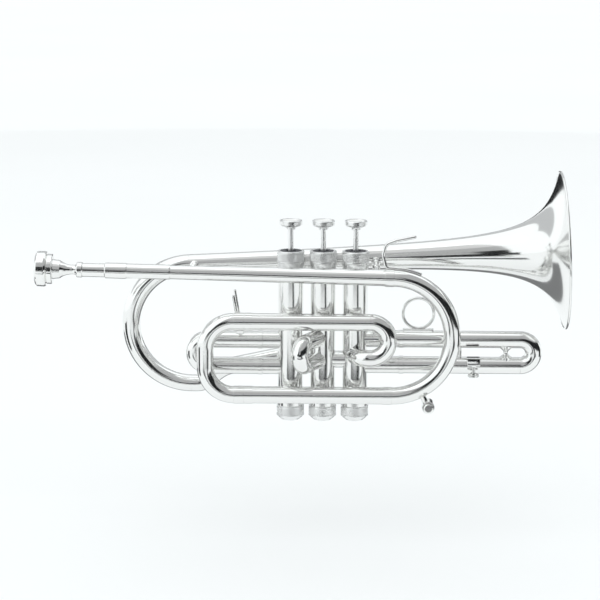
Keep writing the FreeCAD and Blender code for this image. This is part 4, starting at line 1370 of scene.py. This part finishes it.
class SCENE_OT_cornet_stage(bpy.types.Operator):
    """Set up the pale floor, the white surround, the dark cards for the metal, and the camera"""

    bl_idname = "scene.cornet_stage"
    bl_label = "Stage and camera"

    def execute(self, context):
        studio = settings("cornet_studio")
        ground = CAD_BOX[0][2] - studio.drop * MM
        self.make_floor(ground)
        self.make_light(context, studio)
        self.make_belts()
        self.make_mats(ground + MAT_LIFT)
        self.make_camera(context, studio)
        context.scene.view_settings.view_transform = "Standard"
        return {"FINISHED"}

    def make_floor(self, height):
        paint = Paint("studio_floor")
        tint = settings("cornet_finish").floor
        paint.blend(paint.noise(1.5, 2), tint, [0.985 * part for part in tint], 0.3, 0.7)
        paint.set(Roughness=0.7)
        paint.shader.inputs["Specular IOR Level"].default_value = 0.1
        half = 14.0
        corners = [(-half, -half, height), (half, -half, height), (half, half, height), (-half, half, height)]
        mesh = bpy.data.meshes.new("studio_floor")
        mesh.from_pydata(corners, [], [(0, 1, 2, 3)])
        mesh.materials.append(paint.material)
        placed("studio_floor", mesh)

    def make_light(self, context, studio):
        world = bpy.data.worlds.new("studio_white")
        context.scene.world = world
        world.use_nodes = True
        background = world.node_tree.nodes["Background"]
        background.inputs["Color"].default_value = (0.955, 0.992, 1.0, 1)
        background.inputs["Strength"].default_value = studio.sky
        softbox = bpy.data.lights.new("top_softbox", "AREA")
        softbox.size = 1.4
        softbox.energy = 1.5
        lamp = placed("top_softbox", softbox)
        lamp.location = (-0.3, -0.6, 1.7)
        lamp.rotation_euler = (-lamp.location).to_track_quat("-Z", "Y").to_euler()
        glow("dark_card", (0.9, 0.95, 1.0), 0.02)
        glow("dim_card", (0.95, 0.98, 1.0), 0.22)
        glow("soft_grey_card", (0.95, 0.98, 1.0), 0.6)
        glow("grey_card", (0.97, 0.99, 1.0), 0.46)

    def make_belts(self):
        """Curved cards that give the tubes their long dark and grey lines."""
        curved_card("horizon_belt", "dark_card", 3.0, (-2.9, 7.0), (-32, 110))
        curved_card("right_dark", "dark_card", 2.9, (6.5, 24.0), (7, 80))
        curved_card("left_dark", "dark_card", 2.9, (6.5, 22.0), (-24, -9))
        curved_card("grey_sweep", "grey_card", 3.0, (8.0, 72.0), (-24, 95))
        curved_card("rear_belt", "dark_card", 3.0, (-2.9, 10.0), (140, 200))
        curved_card("back_belt", "soft_grey_card", 3.0, (14.0, 42.0), (100, 260))

    def make_mats(self, ground):
        """Mats on the floor, and two small upright strips beside the instrument."""
        mats = {
            "near_mat": [(-0.30, -0.42), (0.45, -0.42), (0.50, -0.60), (-0.34, -0.60)],
            "far_mat": [(-0.46, -1.10), (0.75, -1.10), (1.60, -2.90), (-0.80, -2.90)],
            "side_mat": [(0.26, -0.60), (0.48, -0.60), (0.48, -1.10), (0.26, -1.10)],
            "back_mat": [(-0.6, 0.10), (0.6, 0.10), (0.6, 0.36), (-0.6, 0.36)],
        }
        for name, corners in mats.items():
            material = "dim_card" if name == "back_mat" else "dark_card"
            card(name, [(x, y, ground) for x, y in corners], [(0, 1, 2, 3)], material)
        for name, x, near, far, top in (("right_strip", 0.55, -0.10, 0.12, 0.35),
                                        ("left_strip", -0.36, -0.13, 0.0, -0.035)):
            corners = [(x, near, ground), (x, far, ground), (x, far, top), (x, near, top)]
            card(name, corners, [(0, 1, 2, 3)], "dark_card")

    def make_camera(self, context, studio):
        target = Vector((-17.37, 0, 26.38)) * MM    # near the middle of the instrument
        turn = studio.azimuth
        lift = studio.elevation
        ahead = Vector((math.sin(turn) * math.cos(lift), math.cos(turn) * math.cos(lift), -math.sin(lift)))
        data = bpy.data.cameras.new("camera")
        data.lens = studio.lens
        data.sensor_width = 36.0
        data.clip_end = 60.0
        camera = placed("camera", data)
        camera.location = target - ahead * studio.distance * MM
        camera.rotation_euler = (ahead.to_track_quat("-Z", "Y") @ Quaternion(Z_AXIS, studio.roll)).to_euler()
        context.scene.camera = camera


# ---------------------------------------------------------------- the add-on

PIECES = (
    OBJECT_OT_cornet_finishes,
    OBJECT_OT_cornet_mouthpiece,
    OBJECT_OT_cornet_leadpipe,
    OBJECT_OT_cornet_main_tubes,
    OBJECT_OT_cornet_main_slide,
    OBJECT_OT_cornet_inlet,
    OBJECT_OT_cornet_bell,
    OBJECT_OT_cornet_crook,
    OBJECT_OT_cornet_braces,
    OBJECT_OT_cornet_hook,
    OBJECT_OT_cornet_water_key,
    OBJECT_OT_cornet_valves,
    OBJECT_OT_cornet_cluster,
    OBJECT_OT_cornet_first_slide,
    OBJECT_OT_cornet_second_slide,
    OBJECT_OT_cornet_third_slide,
    SCENE_OT_cornet_stage,
)


class VIEW3D_PT_cornet(bpy.types.Panel):
    """The cornet's pieces and their sizes"""

    bl_label = "Cornet"
    bl_idname = "VIEW3D_PT_cornet"
    bl_space_type = "VIEW_3D"
    bl_region_type = "UI"
    bl_category = "Cornet"

    def draw(self, context):
        for operator in PIECES:
            self.layout.operator(operator.bl_idname)
        for name, group in GROUPS.items():
            box = self.layout.box()
            box.label(text=name.replace("_", " ").capitalize())
            for key in group.__annotations__:
                box.prop(getattr(context.scene, name), key)


def register():
    for group in GROUPS.values():
        bpy.utils.register_class(group)
    for name, group in GROUPS.items():
        setattr(bpy.types.Scene, name, PointerProperty(type=group))
    for operator in PIECES:
        bpy.utils.register_class(operator)
    bpy.utils.register_class(VIEW3D_PT_cornet)


def unregister():
    bpy.utils.unregister_class(VIEW3D_PT_cornet)
    for operator in reversed(PIECES):
        bpy.utils.unregister_class(operator)
    for name in GROUPS:
        delattr(bpy.types.Scene, name)
    for group in reversed(GROUPS.values()):
        bpy.utils.unregister_class(group)


def main():
    register()
    for operator in PIECES:
        area, action = operator.bl_idname.split(".")
        getattr(getattr(bpy.ops, area), action)()


if __name__ == "__main__":
    main()
